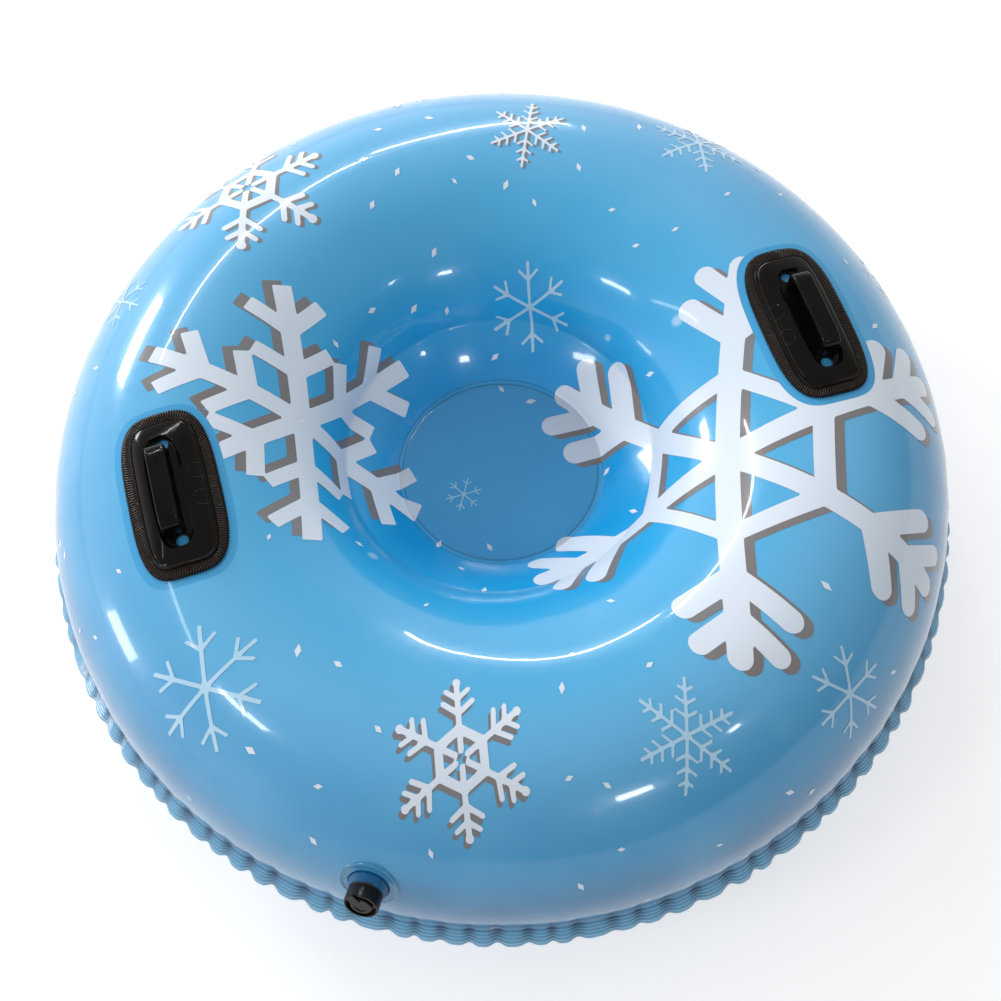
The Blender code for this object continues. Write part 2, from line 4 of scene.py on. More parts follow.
import bpy
import numpy as np
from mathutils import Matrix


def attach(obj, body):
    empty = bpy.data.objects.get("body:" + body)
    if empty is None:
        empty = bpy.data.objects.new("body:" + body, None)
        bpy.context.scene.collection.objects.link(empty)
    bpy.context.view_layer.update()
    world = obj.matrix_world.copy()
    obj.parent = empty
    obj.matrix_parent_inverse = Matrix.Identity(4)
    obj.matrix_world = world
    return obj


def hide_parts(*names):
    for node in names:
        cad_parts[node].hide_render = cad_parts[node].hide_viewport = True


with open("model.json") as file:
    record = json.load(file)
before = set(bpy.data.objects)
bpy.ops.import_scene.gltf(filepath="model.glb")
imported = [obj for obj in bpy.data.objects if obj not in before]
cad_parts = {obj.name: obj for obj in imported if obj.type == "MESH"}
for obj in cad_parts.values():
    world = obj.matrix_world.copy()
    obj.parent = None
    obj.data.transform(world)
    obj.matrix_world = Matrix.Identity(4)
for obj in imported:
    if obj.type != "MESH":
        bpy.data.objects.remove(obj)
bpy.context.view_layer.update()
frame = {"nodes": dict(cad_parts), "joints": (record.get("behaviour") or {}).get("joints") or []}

# Real sizes of the sheets, in metres
SEAM_RADIUS = 0.479
FLOOR_RADIUS = 0.112
STRETCH = 1.12
SHEET = 0.0007
LAYER = 0.0005
CONTACT = 0.012
CORNER = 0.0016

# Rim flange: its width, its fall below the level, and how sharply each sheet bends into it
FLANGE = 0.0245
SLANT = math.radians(60)
BENDS = {1: 0.006, -1: 0.0008}

# Ruffle of the rim, its ribs, and the puckers at its root
RUFFLES = 108
RUFFLE_DEPTH = 0.0011
RUFFLE_FALL = 0.0019
RIB_START = 0.0025
RIB_PITCH = 0.0048
RIB_HEIGHT = 0.0009
PUCKER_DEPTH = 0.0016
PUCKER_FADE = 0.012

# Unevenness round the ring as sums of sines: count round the ring, phase, size
WAVE_DRIFT = ((3, 0.4, 1.2), (8, 2.1, 0.9), (29, 1.3, 0.55), (43, 0.2, 0.4))
WAVE_SIZE = ((5, 1, 0.2), (13, 0.5, 0.14), (37, 2, 0.16))
CREASES = ((31, 31, 1 / 3), (47, 47, 1 / 3), (58, 58, 1 / 3))
CREASE_DEPTH = 0.0004
WAVER_DEPTH = 0.00022

# Weld round the floor
WELD_LINES = (0.1072, 0.1122)
WELD_DEPTH = 0.0003
WELD_WIDTH = 0.0006
CORNER_ARC = 0.118

# Ledge round the floor: a crease ring in the wall of the well, deepest away from the near side
LEDGE_START = 0.113
LEDGE_RING = 0.18
LEDGE_END = 0.265
LEDGE_DEPTH = 0.0125
LEDGE_BEND = 0.0016

# Layers of ink over the sheet, its finest net, and bare margins
SHADE_LIFT = 0.00012
INK_LIFT = 0.00024
INK_NET = 0.0024
VALVE_MARGIN = 0.03
RIM_MARGIN = 0.004

# Strewn diamonds: seed, how many, their half lengths, and the clear space round them
DIAMOND_SEED = 12
DIAMONDS = 74
DIAMOND_SIZE = (0.0035, 0.0058)
DIAMOND_SPACE = 0.035
FLAKE_SPACE = 0.016

# Valve: hole in the sheet, and the raised step round it with the distances over which it fades
VALVE_BORE = 0.0201
VALVE_STEP = 0.0005
VALVE_STEP_EDGE = (0.0262, 0.0288)

# Handles
HANDLE_LENGTH = 0.178
HANDLE_WIDTH = 0.09
HANDLE_OFFSET = -0.002
HANDLE_CLEARANCE = 0.0005
SQUARENESS = 3.5
BEAD_SQUARENESS = 5.0
UNPRINTED = 0.008
PAD_RIBS = 172
RIB_SAMPLES = 6
PAD_BORDER = 0.0118
POCKET_SHIFT = 0.003
POCKET_HALF = (0.0185, 0.061)
POCKET_FLOOR = 0.003
DOME_EDGE = 0.0044
DOME_RISE = 0.0048
GRIP_SHIFT = 0.006
GRIP_WIDTH = 0.019
GRIP_HALF = 0.046
GRIP_HEIGHT = 0.028
GRIP_GAP_HALF = 0.038
GRIP_GAP = 0.0215
GRIP_CORNERS = (0.26, 0.34)
GRIP_GAP_CORNERS = (0.32, 0.45)
GRIP_SQUARENESS = 5.5
GRIP_DISH = 0.0007
HOLE_RADIUS = 0.0062
HOLE_PITCH = 0.106
HOLE_SHIFT = 0.0005
MARK_SHIFT = -0.027
MARK_PITCH = 0.03
MARK_RADIUS = 0.008


# Section of the chamber

def running(values, steps):
    """Running integral of values by trapezoids, from 0."""
    return np.concatenate(([0], np.cumsum((values[1:] + values[:-1]) / 2 * steps)))


def chamber_section(side):
    """Arc, radius, height and slope of a sheet's middle line from the centre to the flange's edge.

    The floor is level. From there to the seam the sine of the slope grows with the square of the
    radius, as in a wrinkled skin under pressure, and the height is stretched a little. Heights count
    away from the seam plane. The top sheet bends slightly into the slanting flange, and the bottom
    sheet folds back under it. The floor's corner is rounded by a running mean of the slope.
    """
    low, high = FLOOR_RADIUS, math.sqrt((FLOOR_RADIUS ** 2 + SEAM_RADIUS ** 2) / 2)
    for _ in range(40):
        crown = (low + high) / 2
        spread = SEAM_RADIUS ** 2 - crown ** 2
        lean = np.linspace(math.asin((FLOOR_RADIUS ** 2 - crown ** 2) / spread), math.pi / 2, 4001)
        pace = spread / (2 * np.sqrt(crown ** 2 + spread * np.sin(lean)))
        fall = STRETCH * np.sin(lean) * pace
        drop = running(fall, np.diff(lean))
        low, high = (crown, high) if drop[-1] > 0 else (low, crown)
    run = np.hypot(STRETCH * np.sin(lean), np.cos(lean)) * pace
    gained = FLOOR_RADIUS + running(run, np.diff(lean))
    bend, turn = BENDS[side], math.pi / 2 - side * SLANT
    joined = (bend * (1 - side * math.sin(SLANT)) - side * LAYER * math.sin(SLANT)) / math.cos(SLANT)
    start_height = (LAYER + bend) * math.cos(SLANT) - side * joined * math.sin(SLANT)
    outside = lean[::-1] > 0
    wall_end = np.interp(start_height - LAYER, (drop[-1] - drop)[::-1][outside], gained[::-1][outside])
    total = wall_end + bend * turn + FLANGE - joined
    arc = np.linspace(0, total, int(total / 0.0001) + 1)
    step = arc[1]
    slope = np.interp(arc, gained, np.arctan2(STRETCH * np.sin(lean), np.cos(lean)), left=0)
    reach = np.arange(-4 * CORNER, 4 * CORNER + step, step)
    weight = np.exp(-(reach / CORNER) ** 2 / 2)
    rounded = np.convolve(np.pad(slope, len(reach) // 2), weight / weight.sum(), "same")
    slope = np.where(arc < 2 * FLOOR_RADIUS, rounded[len(reach) // 2:len(reach) // 2 + len(arc)], slope)
    start = np.interp(wall_end, arc, slope)
    share = np.clip((arc - wall_end) / (bend * turn), 0, 1)
    slope = np.where(share > 0, start + share * (side * SLANT - start), slope)
    radius = running(np.cos(slope), step)
    height = LAYER - running(np.sin(slope), step)
    share = np.clip((arc - FLOOR_RADIUS) / (wall_end - FLOOR_RADIUS), 0, 1)
    radius += share * (SEAM_RADIUS + FLANGE * math.cos(SLANT) + side * LAYER * math.sin(SLANT) - radius[-1])
    height += share * (LAYER * math.cos(SLANT) - side * FLANGE * math.sin(SLANT) - height[-1])
    return arc, radius, height, slope, crown


SECTIONS = {side: chamber_section(side) for side in (1, -1)}
ARC, RADIUS, HEIGHT, _, CROWN_RADIUS = SECTIONS[1]
SEAM_ARC = ARC[-1] - FLANGE
RISING = np.searchsorted(ARC, SEAM_ARC)


def wall_height(radius):
    """Height of the top sheet's middle line over the seam plane, inside the seam."""
    return np.interp(radius, RADIUS[:RISING], HEIGHT[:RISING])


# The tube rests on its lowest band, so the seam plane stands this high over the ground
SEAM_HEIGHT = SHEET / 2 + min(wall_height(CROWN_RADIUS + side * CONTACT / 2) for side in (-1, 1))

JOINTS = {joint["name"]: joint for joint in frame["joints"]}
VALVE_ORIGIN = np.array(JOINTS["valve_turn"]["pos_m"])
VALVE_UP = np.array(JOINTS["valve_turn"]["axis"])
VALVE_UPHILL = np.array((0, 0, 1)) - VALVE_UP * VALVE_UP[2]
VALVE_UPHILL /= np.linalg.norm(VALVE_UPHILL)
VALVE_ACROSS = np.cross(VALVE_UP, VALVE_UPHILL)
HANDLE_RADIUS = CROWN_RADIUS + HANDLE_OFFSET


def smoothstep(value, low, high):
    """Cubic ease from 0 at low to 1 at high."""
    share = np.clip((value - low) / (high - low), 0, 1)
    return share * share * (3 - 2 * share)


def polar(radius, bearing, *height):
    """Points at a radius and bearing round the axis, with a height if one is given."""
    return np.stack(np.broadcast_arrays(radius * np.cos(bearing), radius * np.sin(bearing), *height), -1)


def uneven(bearing, waves):
    """Sum of sines round the ring, from a table of counts, phases and sizes."""
    return sum(size * np.sin(count * bearing + phase) for count, phase, size in waves)


def wave_turn(bearing):
    """Phase of the rim's waves, 0 at a cusp: it drifts, because the real rim puckers unevenly."""
    return RUFFLES * bearing + uneven(bearing, WAVE_DRIFT)


def ruffle(along, bearing):
    """Waves of the rim square to the flange and along it, and puckers of the wall at the flange's root.

    The waves are a cosine with its first overtone, which rounds them outwards and cusps them inwards, and
    they grow with the 0.8th power of the share of the flange's width. The puckers are the cube of a raised
    cosine and fade exponentially to both sides of the seam.
    """
    turn = wave_turn(bearing)
    size = 1 + uneven(bearing, WAVE_SIZE)
    wave = (0.26 - np.cos(turn) - 0.26 * np.cos(2 * turn)) * size
    share = np.clip(along / FLANGE, 0, 1)
    pucker = np.exp(-np.abs(along) / PUCKER_FADE) * (0.5 + 0.5 * np.cos(turn)) ** 3 * size
    grown = wave * share ** 0.8
    return RUFFLE_DEPTH * grown, RUFFLE_FALL * grown, -PUCKER_DEPTH * pucker


def painted_rim_shade(along, bearing):
    """Painted shade of the rim: squared cosines in the grooves between the ribs, and at the cusps, most at
    their roots.
    """
    cusp = (0.5 + 0.5 * np.cos(wave_turn(bearing))) ** 2
    root = cusp * np.exp(-np.abs(along - 0.003) / 0.007)
    inside = (along - RIB_START) / RIB_PITCH
    groove = np.where((inside > -0.5) & (inside < 4.5), 0.5 + 0.5 * np.cos(2 * math.pi * inside), 0)
    return np.clip(0.9 * root + 0.3 * cusp * smoothstep(along, 0, 0.004) + 0.5 * groove ** 2, 0, 1)


def ledge(arc, bearing):
    """Depth of the wall's crease ring below the plain section.

    It deepens with the 1.2th power from the floor to the ring, and fades with a square above it. The
    ring's corner is rounded by the mean of three shifted copies, and the near side is shallower.
    """

    def sharp(place):
        """Share of the full depth before the corner is rounded."""
        below = np.clip((place - LEDGE_START) / (LEDGE_RING - LEDGE_START), 0, 1) ** 1.2
        above = np.clip((LEDGE_END - place) / (LEDGE_END - LEDGE_RING), 0, 1) ** 2
        return np.where(place < LEDGE_RING, below, above)

    mean = (sharp(arc - LEDGE_BEND) + sharp(arc) + sharp(arc + LEDGE_BEND)) / 3
    return LEDGE_DEPTH * mean * (1.25 - 0.55 * (0.5 - 0.5 * np.sin(bearing)) ** 4)


def relief(arc, along, bearing, welds):
    """Height of the small forms on a sheet.

    Soft creases run up from the seam as sines of the bearing, a slow waver covers the wall as products
    of sines of arc and bearing, the floor's weld lines are Gaussian grooves, and the flange has four
    ribs as raised cosines.
    """
    crease = CREASE_DEPTH * uneven(bearing, CREASES) * smoothstep(arc, 0.48, SEAM_ARC - 0.01)
    shell = smoothstep(arc, 0.13, 0.2) * (1 - smoothstep(arc, SEAM_ARC - 0.05, SEAM_ARC))
    waver = np.sin(arc * 71 + 2 * np.sin(2 * bearing)) * np.sin(5 * bearing + 1.1)
    waver += 0.7 * np.sin(arc * 43 + 1.5 * np.sin(3 * bearing + 1)) * np.sin(9 * bearing + 0.3)
    lines = sum(np.exp(-((arc - line) / WELD_WIDTH) ** 2) for line in WELD_LINES)
    inside = (along - RIB_START) / RIB_PITCH
    ribs = np.where((inside > 0) & (inside < 4), 0.5 - 0.5 * np.cos(2 * math.pi * inside), 0)
    return crease + WAVER_DEPTH * waver * shell - WELD_DEPTH * lines * welds + RIB_HEIGHT * ribs


def from_valve(radius, bearing, height):
    """Distance of points from the valve's axis."""
    away = polar(radius, bearing, SEAM_HEIGHT + height) - VALVE_ORIGIN
    return np.hypot(away @ VALVE_UPHILL, away @ VALVE_ACROSS)


def lay(arc, bearing, lift, side=1, welds=1):
    """Points of a sheet: its middle line turned about Z, moved out along the normal by lift and relief.

    The top sheet also dips by the ledge and steps up round the valve. The rim's waves are added square to
    the flange and along it. A film of ink spans the floor's weld lines, so it is laid with welds at 0.
    """
    arc, bearing = np.broadcast_arrays(np.asarray(arc, float), np.asarray(bearing, float))
    arcs, radii, heights, slopes, _ = SECTIONS[side]
    slope = np.interp(arc, arcs, slopes)
    radius, height = np.interp(arc, arcs, radii), np.interp(arc, arcs, heights)
    along = arc - (arcs[-1] - FLANGE)
    out = lift + relief(arc, along, bearing, welds) * (lift > 0)
    if side > 0:
        out = out - ledge(arc, bearing)
        out = out + VALVE_STEP * (1 - smoothstep(from_valve(radius, bearing, height), *VALVE_STEP_EDGE))
    wave, fall, dent = ruffle(along, bearing)
    radius = radius + np.sin(slope) * out + math.sin(SLANT) * wave + math.cos(SLANT) * fall + dent
    level = SEAM_HEIGHT + side * (height + np.cos(slope) * out)
    level = level + math.cos(SLANT) * wave - math.sin(SLANT) * fall
    return polar(radius, bearing, np.maximum(level, 0))


# Mesh helpers

def add_object(name, data):
    """Object at the origin with its data, linked to the scene."""
    obj = bpy.data.objects.new(name, data)
    bpy.context.scene.collection.objects.link(obj)
    return obj


def full_turn(count):
    """Angles of points spaced evenly round a circle."""
    return 2 * math.pi * np.arange(count) / count


def make_mesh(name, points, faces, material, body, sharp=None, flat=None, tone=None):
    """Smooth mesh object at the origin that rides on a body.

    flat gives each point's place on the cut sheet, and tone a number from 0 to 1 that its material reads as
    painted shade or painted highlight.
    """
    mesh = bpy.data.meshes.new(name)
    mesh.from_pydata(points.tolist(), [], faces.tolist())
    mesh.shade_smooth()
    if sharp:
        mesh.set_sharp_from_angle(angle=math.radians(sharp))
    if flat is not None:
        corners = np.empty(len(mesh.loops), np.int32)
        mesh.loops.foreach_get("vertex_index", corners)
        layer = mesh.uv_layers.new(name="flat")
        layer.data.foreach_set("uv", flat.astype(np.float32)[corners].ravel())
    if tone is not None:
        layer = mesh.attributes.new("tone", "FLOAT", "POINT")
        layer.data.foreach_set("value", tone.astype(np.float32))
    mesh.materials.append(material)
    obj = add_object(name, mesh)
    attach(obj, body)
    return obj


def between(first, first_start, second, second_start):
    """Triangles between two closed rings of points.

    The finer ring has a whole number of points for each coarse one. Each short edge of it joins the
    coarse point that it starts nearer to, and one triangle for each long edge closes the strip.
    """
    if first > second:
        return between(second, second_start, first, first_start)[:, ::-1]
    if first == 1:
        fine = np.arange(second)
        centre = np.full(second, first_start)
        return np.stack((centre, second_start + fine, second_start + (fine + 1) % second), -1)
    coarse = np.arange(first)
    beyond = (coarse + 1) % first
    ratio = second // first
    parts = []
    for step in range(ratio):
        here = second_start + (coarse * ratio + step) % second
        following = second_start + (coarse * ratio + step + 1) % second
        apex = coarse if step <= ratio // 2 else beyond
        parts.append(np.stack((first_start + apex, here, following), -1))
        if step == ratio // 2:
            parts.append(np.stack((first_start + coarse, following, first_start + beyond), -1))
    return np.concatenate(parts)


def ring_mesh(counts):
    """Triangles that join rings of the given counts in order."""
    starts = np.concatenate(([0], np.cumsum(counts)))
    strips = zip(counts, starts, counts[1:], starts[1:])
    return np.concatenate([between(*strip) for strip in strips])


def square_net(line):
    """Flat coordinates of a square grid over a line's values, and the two triangles of each cell."""
    u, v = (grid.ravel() for grid in np.meshgrid(line, line, indexing="ij"))
    index = np.arange(len(line) ** 2).reshape(len(line), len(line))
    low, right, high, left = (
        part.ravel() for part in (index[:-1, :-1], index[1:, :-1], index[1:, 1:], index[:-1, 1:]))
    return u, v, np.concatenate((np.stack((low, right, high), -1), np.stack((low, high, left), -1)))


def turned(u, v, angle):
    """Flat coordinates turned about the origin."""
    cosine, sine = math.cos(angle), math.sin(angle)
    return u * cosine - v * sine, u * sine + v * cosine


# Materials

def srgb(red, green, blue):
    """Linear colour of a screen colour given from 0 to 255."""
    return tuple(
        ((value / 255 + 0.055) / 1.055) ** 2.4 if value > 10 else value / 3294.6
        for value in (red, green, blue)
    ) + (1,)


def node(tree, kind, *values, **settings):
    """Shader node with its inputs set in order to numbers, colours or other nodes' outputs."""
    made = tree.nodes.new("ShaderNode" + kind)
    for key, value in settings.items():
        setattr(made, key, value)
    for socket, value in zip(made.inputs, values):
        if isinstance(value, bpy.types.NodeSocket):
            tree.links.new(value, socket)
        elif value is not None:
            socket.default_value = value
    return made


def math_node(tree, operation, *values):
    """Result of one step of arithmetic."""
    return node(tree, "Math", *values, operation=operation).outputs[0]


def ease(tree, value, low, high, start=0.0, end=1.0):
    """Smooth step of a value between two limits."""
    return node(tree, "MapRange", value, low, high, start, end, interpolation_type="SMOOTHSTEP").outputs[0]


def blend_colour(tree, share, first, second):
    """Mix of two colours by a share of the second."""
    made = tree.nodes.new("ShaderNodeMix")
    made.data_type = "RGBA"
    for index, value in ((0, share), (6, first), (7, second)):
        if isinstance(value, bpy.types.NodeSocket):
            tree.links.new(value, made.inputs[index])
        else:
            made.inputs[index].default_value = value
    return made.outputs[2]


def new_material(name, colour, roughness, **sockets):
    """Principled material; returns it with its node tree and shader."""
    material = bpy.data.materials.new(name)
    material.use_nodes = True
    tree = material.node_tree
    shader = tree.nodes["Principled BSDF"]
    shader.inputs["Base Color"].default_value = colour
    shader.inputs["Roughness"].default_value = roughness
    for key, value in sockets.items():
        shader.inputs[key.replace("_", " ")].default_value = value
    return material, tree, shader


def noise_of(tree, coords, scale, detail):
    """Noise from 0 to 1."""
    return node(tree, "TexNoise", coords, None, scale, detail).outputs[0]


def clouds(tree, coords, scale, low, high, most=1.0):
    """Soft patches: noise eased between two limits, up to a share."""
    return ease(tree, noise_of(tree, coords, scale, 3.0), low, high, 0.0, most)


def grain(tree, shader, scale, strength, distance, coords, under=None):
    """Fine bump from noise, which is returned, over the normal of a coarser one if that is given."""
    noise = noise_of(tree, coords, scale, 2.0)
    bump = node(tree, "Bump", strength, distance)
    tree.links.new(noise, bump.inputs["Height"])
    tree.links.new(bump.outputs[0], shader.inputs["Normal"])
    if under is not None:
        tree.links.new(under, bump.inputs["Normal"])
    return noise


def finish(tree, shader, colour, roughness):
    """Link a material's worked-out colour and roughness."""
    tree.links.new(colour, shader.inputs["Base Color"])
    tree.links.new(roughness, shader.inputs["Roughness"])


def object_coords(tree):
    """Place on the piece in metres."""
    return node(tree, "TexCoord").outputs["Object"]


def from_handle(tree, place, shift):
    """Distance across a handle from its middle, moved by a shift: both handles lie at one radius."""
    return math_node(tree, "SUBTRACT", math_node(tree, "ABSOLUTE", place.outputs[0]), HANDLE_RADIUS + shift)


def length_of(tree, first, second):
    """Length of a flat vector: the root of the sum of two squares."""
    squares = [math_node(tree, "MULTIPLY", value, value) for value in (first, second)]
    return math_node(tree, "SQRT", math_node(tree, "ADD", *squares))


def vinyl_skin():
    """Printed glossy vinyl: blue that deepens into the well, partly as painted shade, and darkens low on
    the outer shoulder as painted shade; soft snow dots, weld lines, bare margins, and painted shade in the
    rim's folds.
    """
    material, tree, shader = new_material(
        "printed_vinyl", srgb(100, 170, 218), 0.2,
        Coat_Weight=0.5, Coat_Roughness=0.04, Specular_IOR_Level=0.25)
    flat = node(tree, "UVMap", uv_map="flat").outputs[0]
    arc = node(tree, "VectorMath", flat, operation="LENGTH").outputs["Value"]
    ramp = node(tree, "ValToRGB", math_node(tree, "DIVIDE", arc, ARC[-1]))
    ramp.color_ramp.interpolation = "EASE"
    # The stops deepen the blue into the well, partly as painted shade, darken it low on the outer shoulder
    # as painted shade, and pale it out on the flange
    stops = (
        (0.1, srgb(30, 146, 208)),
        (0.2, srgb(12, 152, 218)),
        (0.32, srgb(36, 166, 226)),
        (0.47, srgb(75, 172, 222)),
        (0.62, srgb(98, 178, 224)),
        (0.78, srgb(76, 158, 208)),
        (0.9, srgb(52, 124, 172)),
        (0.955, srgb(52, 124, 172)),
        (0.975, srgb(104, 172, 212)),
        (1.0, srgb(124, 186, 222)),
    )
    points = ramp.color_ramp.elements
    while len(points) < len(stops):
        points.new(0.5)
    for point, (place, _) in zip(points, stops):
        point.position = place
    for point, (_, colour) in zip(points, stops):
        point.color = colour
    patches = clouds(tree, flat, 7.0, 0.4, 0.75, 0.3)
    colour = blend_colour(tree, patches, ramp.outputs[0], srgb(112, 186, 228))
    # Soft round snow dots
    cells = node(tree, "TexVoronoi", flat, None, 11.0)
    cells.feature = "F1"
    chosen = node(tree, "SeparateColor", cells.outputs["Color"])
    size = math_node(tree, "MULTIPLY_ADD", chosen.outputs[1], 0.06, 0.06)
    dot = ease(tree, math_node(tree, "DIVIDE", cells.outputs["Distance"], size), 0.35, 1.0, 1.0, 0.0)
    dot = math_node(tree, "MULTIPLY", dot, ease(tree, chosen.outputs[0], 0.5, 0.8, 0.0, 0.5))
    colour = blend_colour(tree, dot, colour, srgb(215, 236, 250))
    # Bare margins round the handles
    place = node(tree, "SeparateXYZ", object_coords(tree))
    across = from_handle(tree, place, 0.0)
    parts = []
    for value, half in ((across, HANDLE_WIDTH / 2), (place.outputs[1], HANDLE_LENGTH / 2)):
        share = math_node(tree, "DIVIDE", math_node(tree, "ABSOLUTE", value), half + UNPRINTED)
        parts.append(math_node(tree, "POWER", share, SQUARENESS))
    share = math_node(tree, "ADD", *parts)
    margin = ease(tree, share, 0.985, 1.015, 0.9, 0.0)
    colour = blend_colour(tree, margin, colour, srgb(64, 158, 212))
    # Weld lines and the duller double layer of the floor
    floor = ease(tree, arc, WELD_LINES[0] - 0.001, WELD_LINES[1], 1.0, 0.0)
    colour = blend_colour(tree, math_node(tree, "MULTIPLY", floor, 0.85), colour, srgb(58, 140, 190))
    for line in WELD_LINES:
        away = math_node(tree, "ABSOLUTE", math_node(tree, "SUBTRACT", arc, line))
        colour = blend_colour(tree, ease(tree, away, 0.0004, 0.0013, 0.5, 0.0), colour, srgb(38, 86, 118))
    # Painted shade in the rim's rib grooves and at its cusps, read from the tone attribute
    tone = node(tree, "Attribute", attribute_name="tone").outputs["Fac"]
    colour = blend_colour(tree, math_node(tree, "MULTIPLY", tone, 0.9), colour, srgb(26, 66, 102))
    noise = grain(tree, shader, 90.0, 0.06, 0.001, flat)
    finish(tree, shader, colour, ease(tree, noise, 0.2, 0.8, 0.16, 0.24))
    return material


def ink(name, colour, floor_colour):
    """Glossy screen ink, duller over the floor's double layer."""
    material, tree, shader = new_material(
        name, colour, 0.22, Coat_Weight=0.45, Coat_Roughness=0.05, Specular_IOR_Level=0.25)
    coords = object_coords(tree)
    place = node(tree, "SeparateXYZ", coords)
    radius = length_of(tree, place.outputs[0], place.outputs[1])
    floor = ease(tree, radius, FLOOR_RADIUS - 0.001, FLOOR_RADIUS + 0.0005, 1.0, 0.0)
    tone = blend_colour(tree, floor, colour, floor_colour)
    thin = blend_colour(tree, 0.35, colour, srgb(170, 205, 232))
    tone = blend_colour(tree, clouds(tree, coords, 9.0, 0.3, 0.75, 0.3), tone, thin)
    tree.links.new(tone, shader.inputs["Base Color"])
    grain(tree, shader, 90.0, 0.05, 0.001, coords)
    return material


def plain_gloss(name, colour, tint, roughness, scale, strength, coat=0.0, specular=0.5):
    """Moulded plastic or rubber with slight clouds of tint and a fine grain."""
    material, tree, shader = new_material(
        name, colour, roughness, Coat_Weight=coat, Coat_Roughness=0.05, Specular_IOR_Level=specular)
    coords = object_coords(tree)
    mixed = blend_colour(tree, clouds(tree, coords, 40.0, 0.35, 0.7), colour, tint)
    noise = grain(tree, shader, scale, strength, 0.0005, coords)
    finish(tree, shader, mixed, ease(tree, noise, 0.25, 0.75, roughness * 0.8, roughness * 1.25))
    return material


def moulded_black():
    """Black gloss of the handles, with a painted highlight of warm brown on the crests of the border's
    teeth, two round ejector marks and a short line between them.
    """
    material, tree, shader = new_material("moulded_black", srgb(9, 8, 6), 0.1, Specular_IOR_Level=0.17)
    coords = object_coords(tree)
    colour = blend_colour(tree, clouds(tree, coords, 40.0, 0.35, 0.7), srgb(9, 8, 6), srgb(16, 13, 10))
    # Painted highlight: warm brown on the crests of the border's teeth, read from the tone attribute
    tone = node(tree, "Attribute", attribute_name="tone").outputs["Fac"]
    colour = blend_colour(tree, tone, colour, srgb(56, 46, 40))
    place = node(tree, "SeparateXYZ", coords)
    across = from_handle(tree, place, MARK_SHIFT)
    along = math_node(tree, "ABSOLUTE", place.outputs[1])
    away = length_of(tree, across, math_node(tree, "SUBTRACT", along, MARK_PITCH / 2))
    edge = math_node(tree, "ABSOLUTE", math_node(tree, "SUBTRACT", away, MARK_RADIUS))
    ring = ease(tree, edge, 0.0002, 0.0007, 1.0, 0.0)
    aside = math_node(tree, "ABSOLUTE", across)
    dash = math_node(tree, "MAXIMUM", aside, math_node(tree, "MULTIPLY", along, 0.15))
    dash = ease(tree, dash, 0.0004, 0.0008, 1.0, 0.0)
    marks = node(tree, "Bump", 0.6, 0.0003)
    tree.links.new(math_node(tree, "MAXIMUM", ring, dash), marks.inputs["Height"])
    noise = grain(tree, shader, 420.0, 0.05, 0.0005, coords, under=marks.outputs[0])
    finish(tree, shader, colour, ease(tree, noise, 0.25, 0.75, 0.06, 0.13))
    return material


SKIN = vinyl_skin()
UNDERSIDE = plain_gloss(
    "underside_vinyl", srgb(56, 140, 194), srgb(48, 130, 186), 0.24, 120.0, 0.05, coat=0.25, specular=0.3)
WHITE_INK = ink("white_ink", srgb(222, 232, 244), srgb(178, 190, 206))
SHADE_INK = ink("grey_ink", srgb(124, 118, 117), srgb(100, 95, 96))
PALE_INK = ink("pale_ink", srgb(176, 214, 238), srgb(128, 176, 206))
MOULDED = moulded_black()
HARD_BLACK = plain_gloss("hard_black", srgb(14, 12, 13), srgb(22, 19, 20), 0.2, 700.0, 0.08, specular=0.24)
BOSS_BLUE = plain_gloss("boss_blue", srgb(10, 92, 142), srgb(8, 78, 126), 0.2, 500.0, 0.08, specular=0.35)
WELD_BLUE = plain_gloss(
    "weld_blue", srgb(66, 140, 184), srgb(58, 132, 176), 0.16, 220.0, 0.05, coat=0.5, specular=0.3)
RUBBER = plain_gloss("black_rubber", srgb(38, 38, 38), srgb(46, 46, 45), 0.6, 900.0, 0.2)
GREY_RUBBER = plain_gloss("grey_rubber", srgb(96, 96, 96), srgb(104, 104, 102), 0.6, 900.0, 0.2)


# Sheets

# Points on a ring: at the rim, on the wall, and on the wall's inner face
FINE, COARSE, INNER = 1080, 360, 180


def rings_of(spans):
    """Arc and count of each ring, from spans of arcs that share a count."""
    return [(arc, count) for count, arcs in spans for arc in arcs]


def skin_rings(seam):
    """Rings of a sheet's outer face, close together at the welds, the ledge and the rim."""
    return rings_of((
        (1, (0.0,)),
        (36, (0.006,)),
        (72, (0.02, 0.045)),
        (COARSE, (0.075, 0.095, 0.103, *np.arange(0.105, 0.1166, 0.0006))),
        (COARSE, np.linspace(CORNER_ARC, LEDGE_RING - 0.008, 10)),
        (COARSE, np.arange(LEDGE_RING - 0.005, LEDGE_RING + 0.0055, 0.001)),
        (COARSE, np.linspace(LEDGE_RING + 0.009, seam - 0.03, 34)),
        (FINE, np.linspace(seam - 0.026, seam - 0.005, 6)),
        (FINE, np.linspace(seam - 0.003, seam + 0.0045, 14)),
        (FINE, np.linspace(seam + 0.0052, seam + FLANGE, 31)),
    ))


def chamber_rings(seam):
    """Rings of a sheet's inner face, as fine as the outer one at the rim only."""
    return rings_of((
        (FINE, [seam + step for step in (FLANGE, 0.016, 0.009, 0.0045, 0.0033, 0.0021, -0.003)]),
        (COARSE, (seam - 0.012, seam - 0.025)),
        (INNER, np.linspace(seam - 0.04, LEDGE_RING + 0.01, 14)),
        (INNER, np.arange(LEDGE_RING + 0.006, LEDGE_RING - 0.0065, -0.001)),
        (INNER, np.linspace(LEDGE_RING - 0.01, CORNER_ARC, 6)),
        (INNER, (0.115, 0.1135, 0.112, 0.1105, 0.108, 0.09)),
        (36, (0.05,)),
        (1, (0.0,)),
    ))


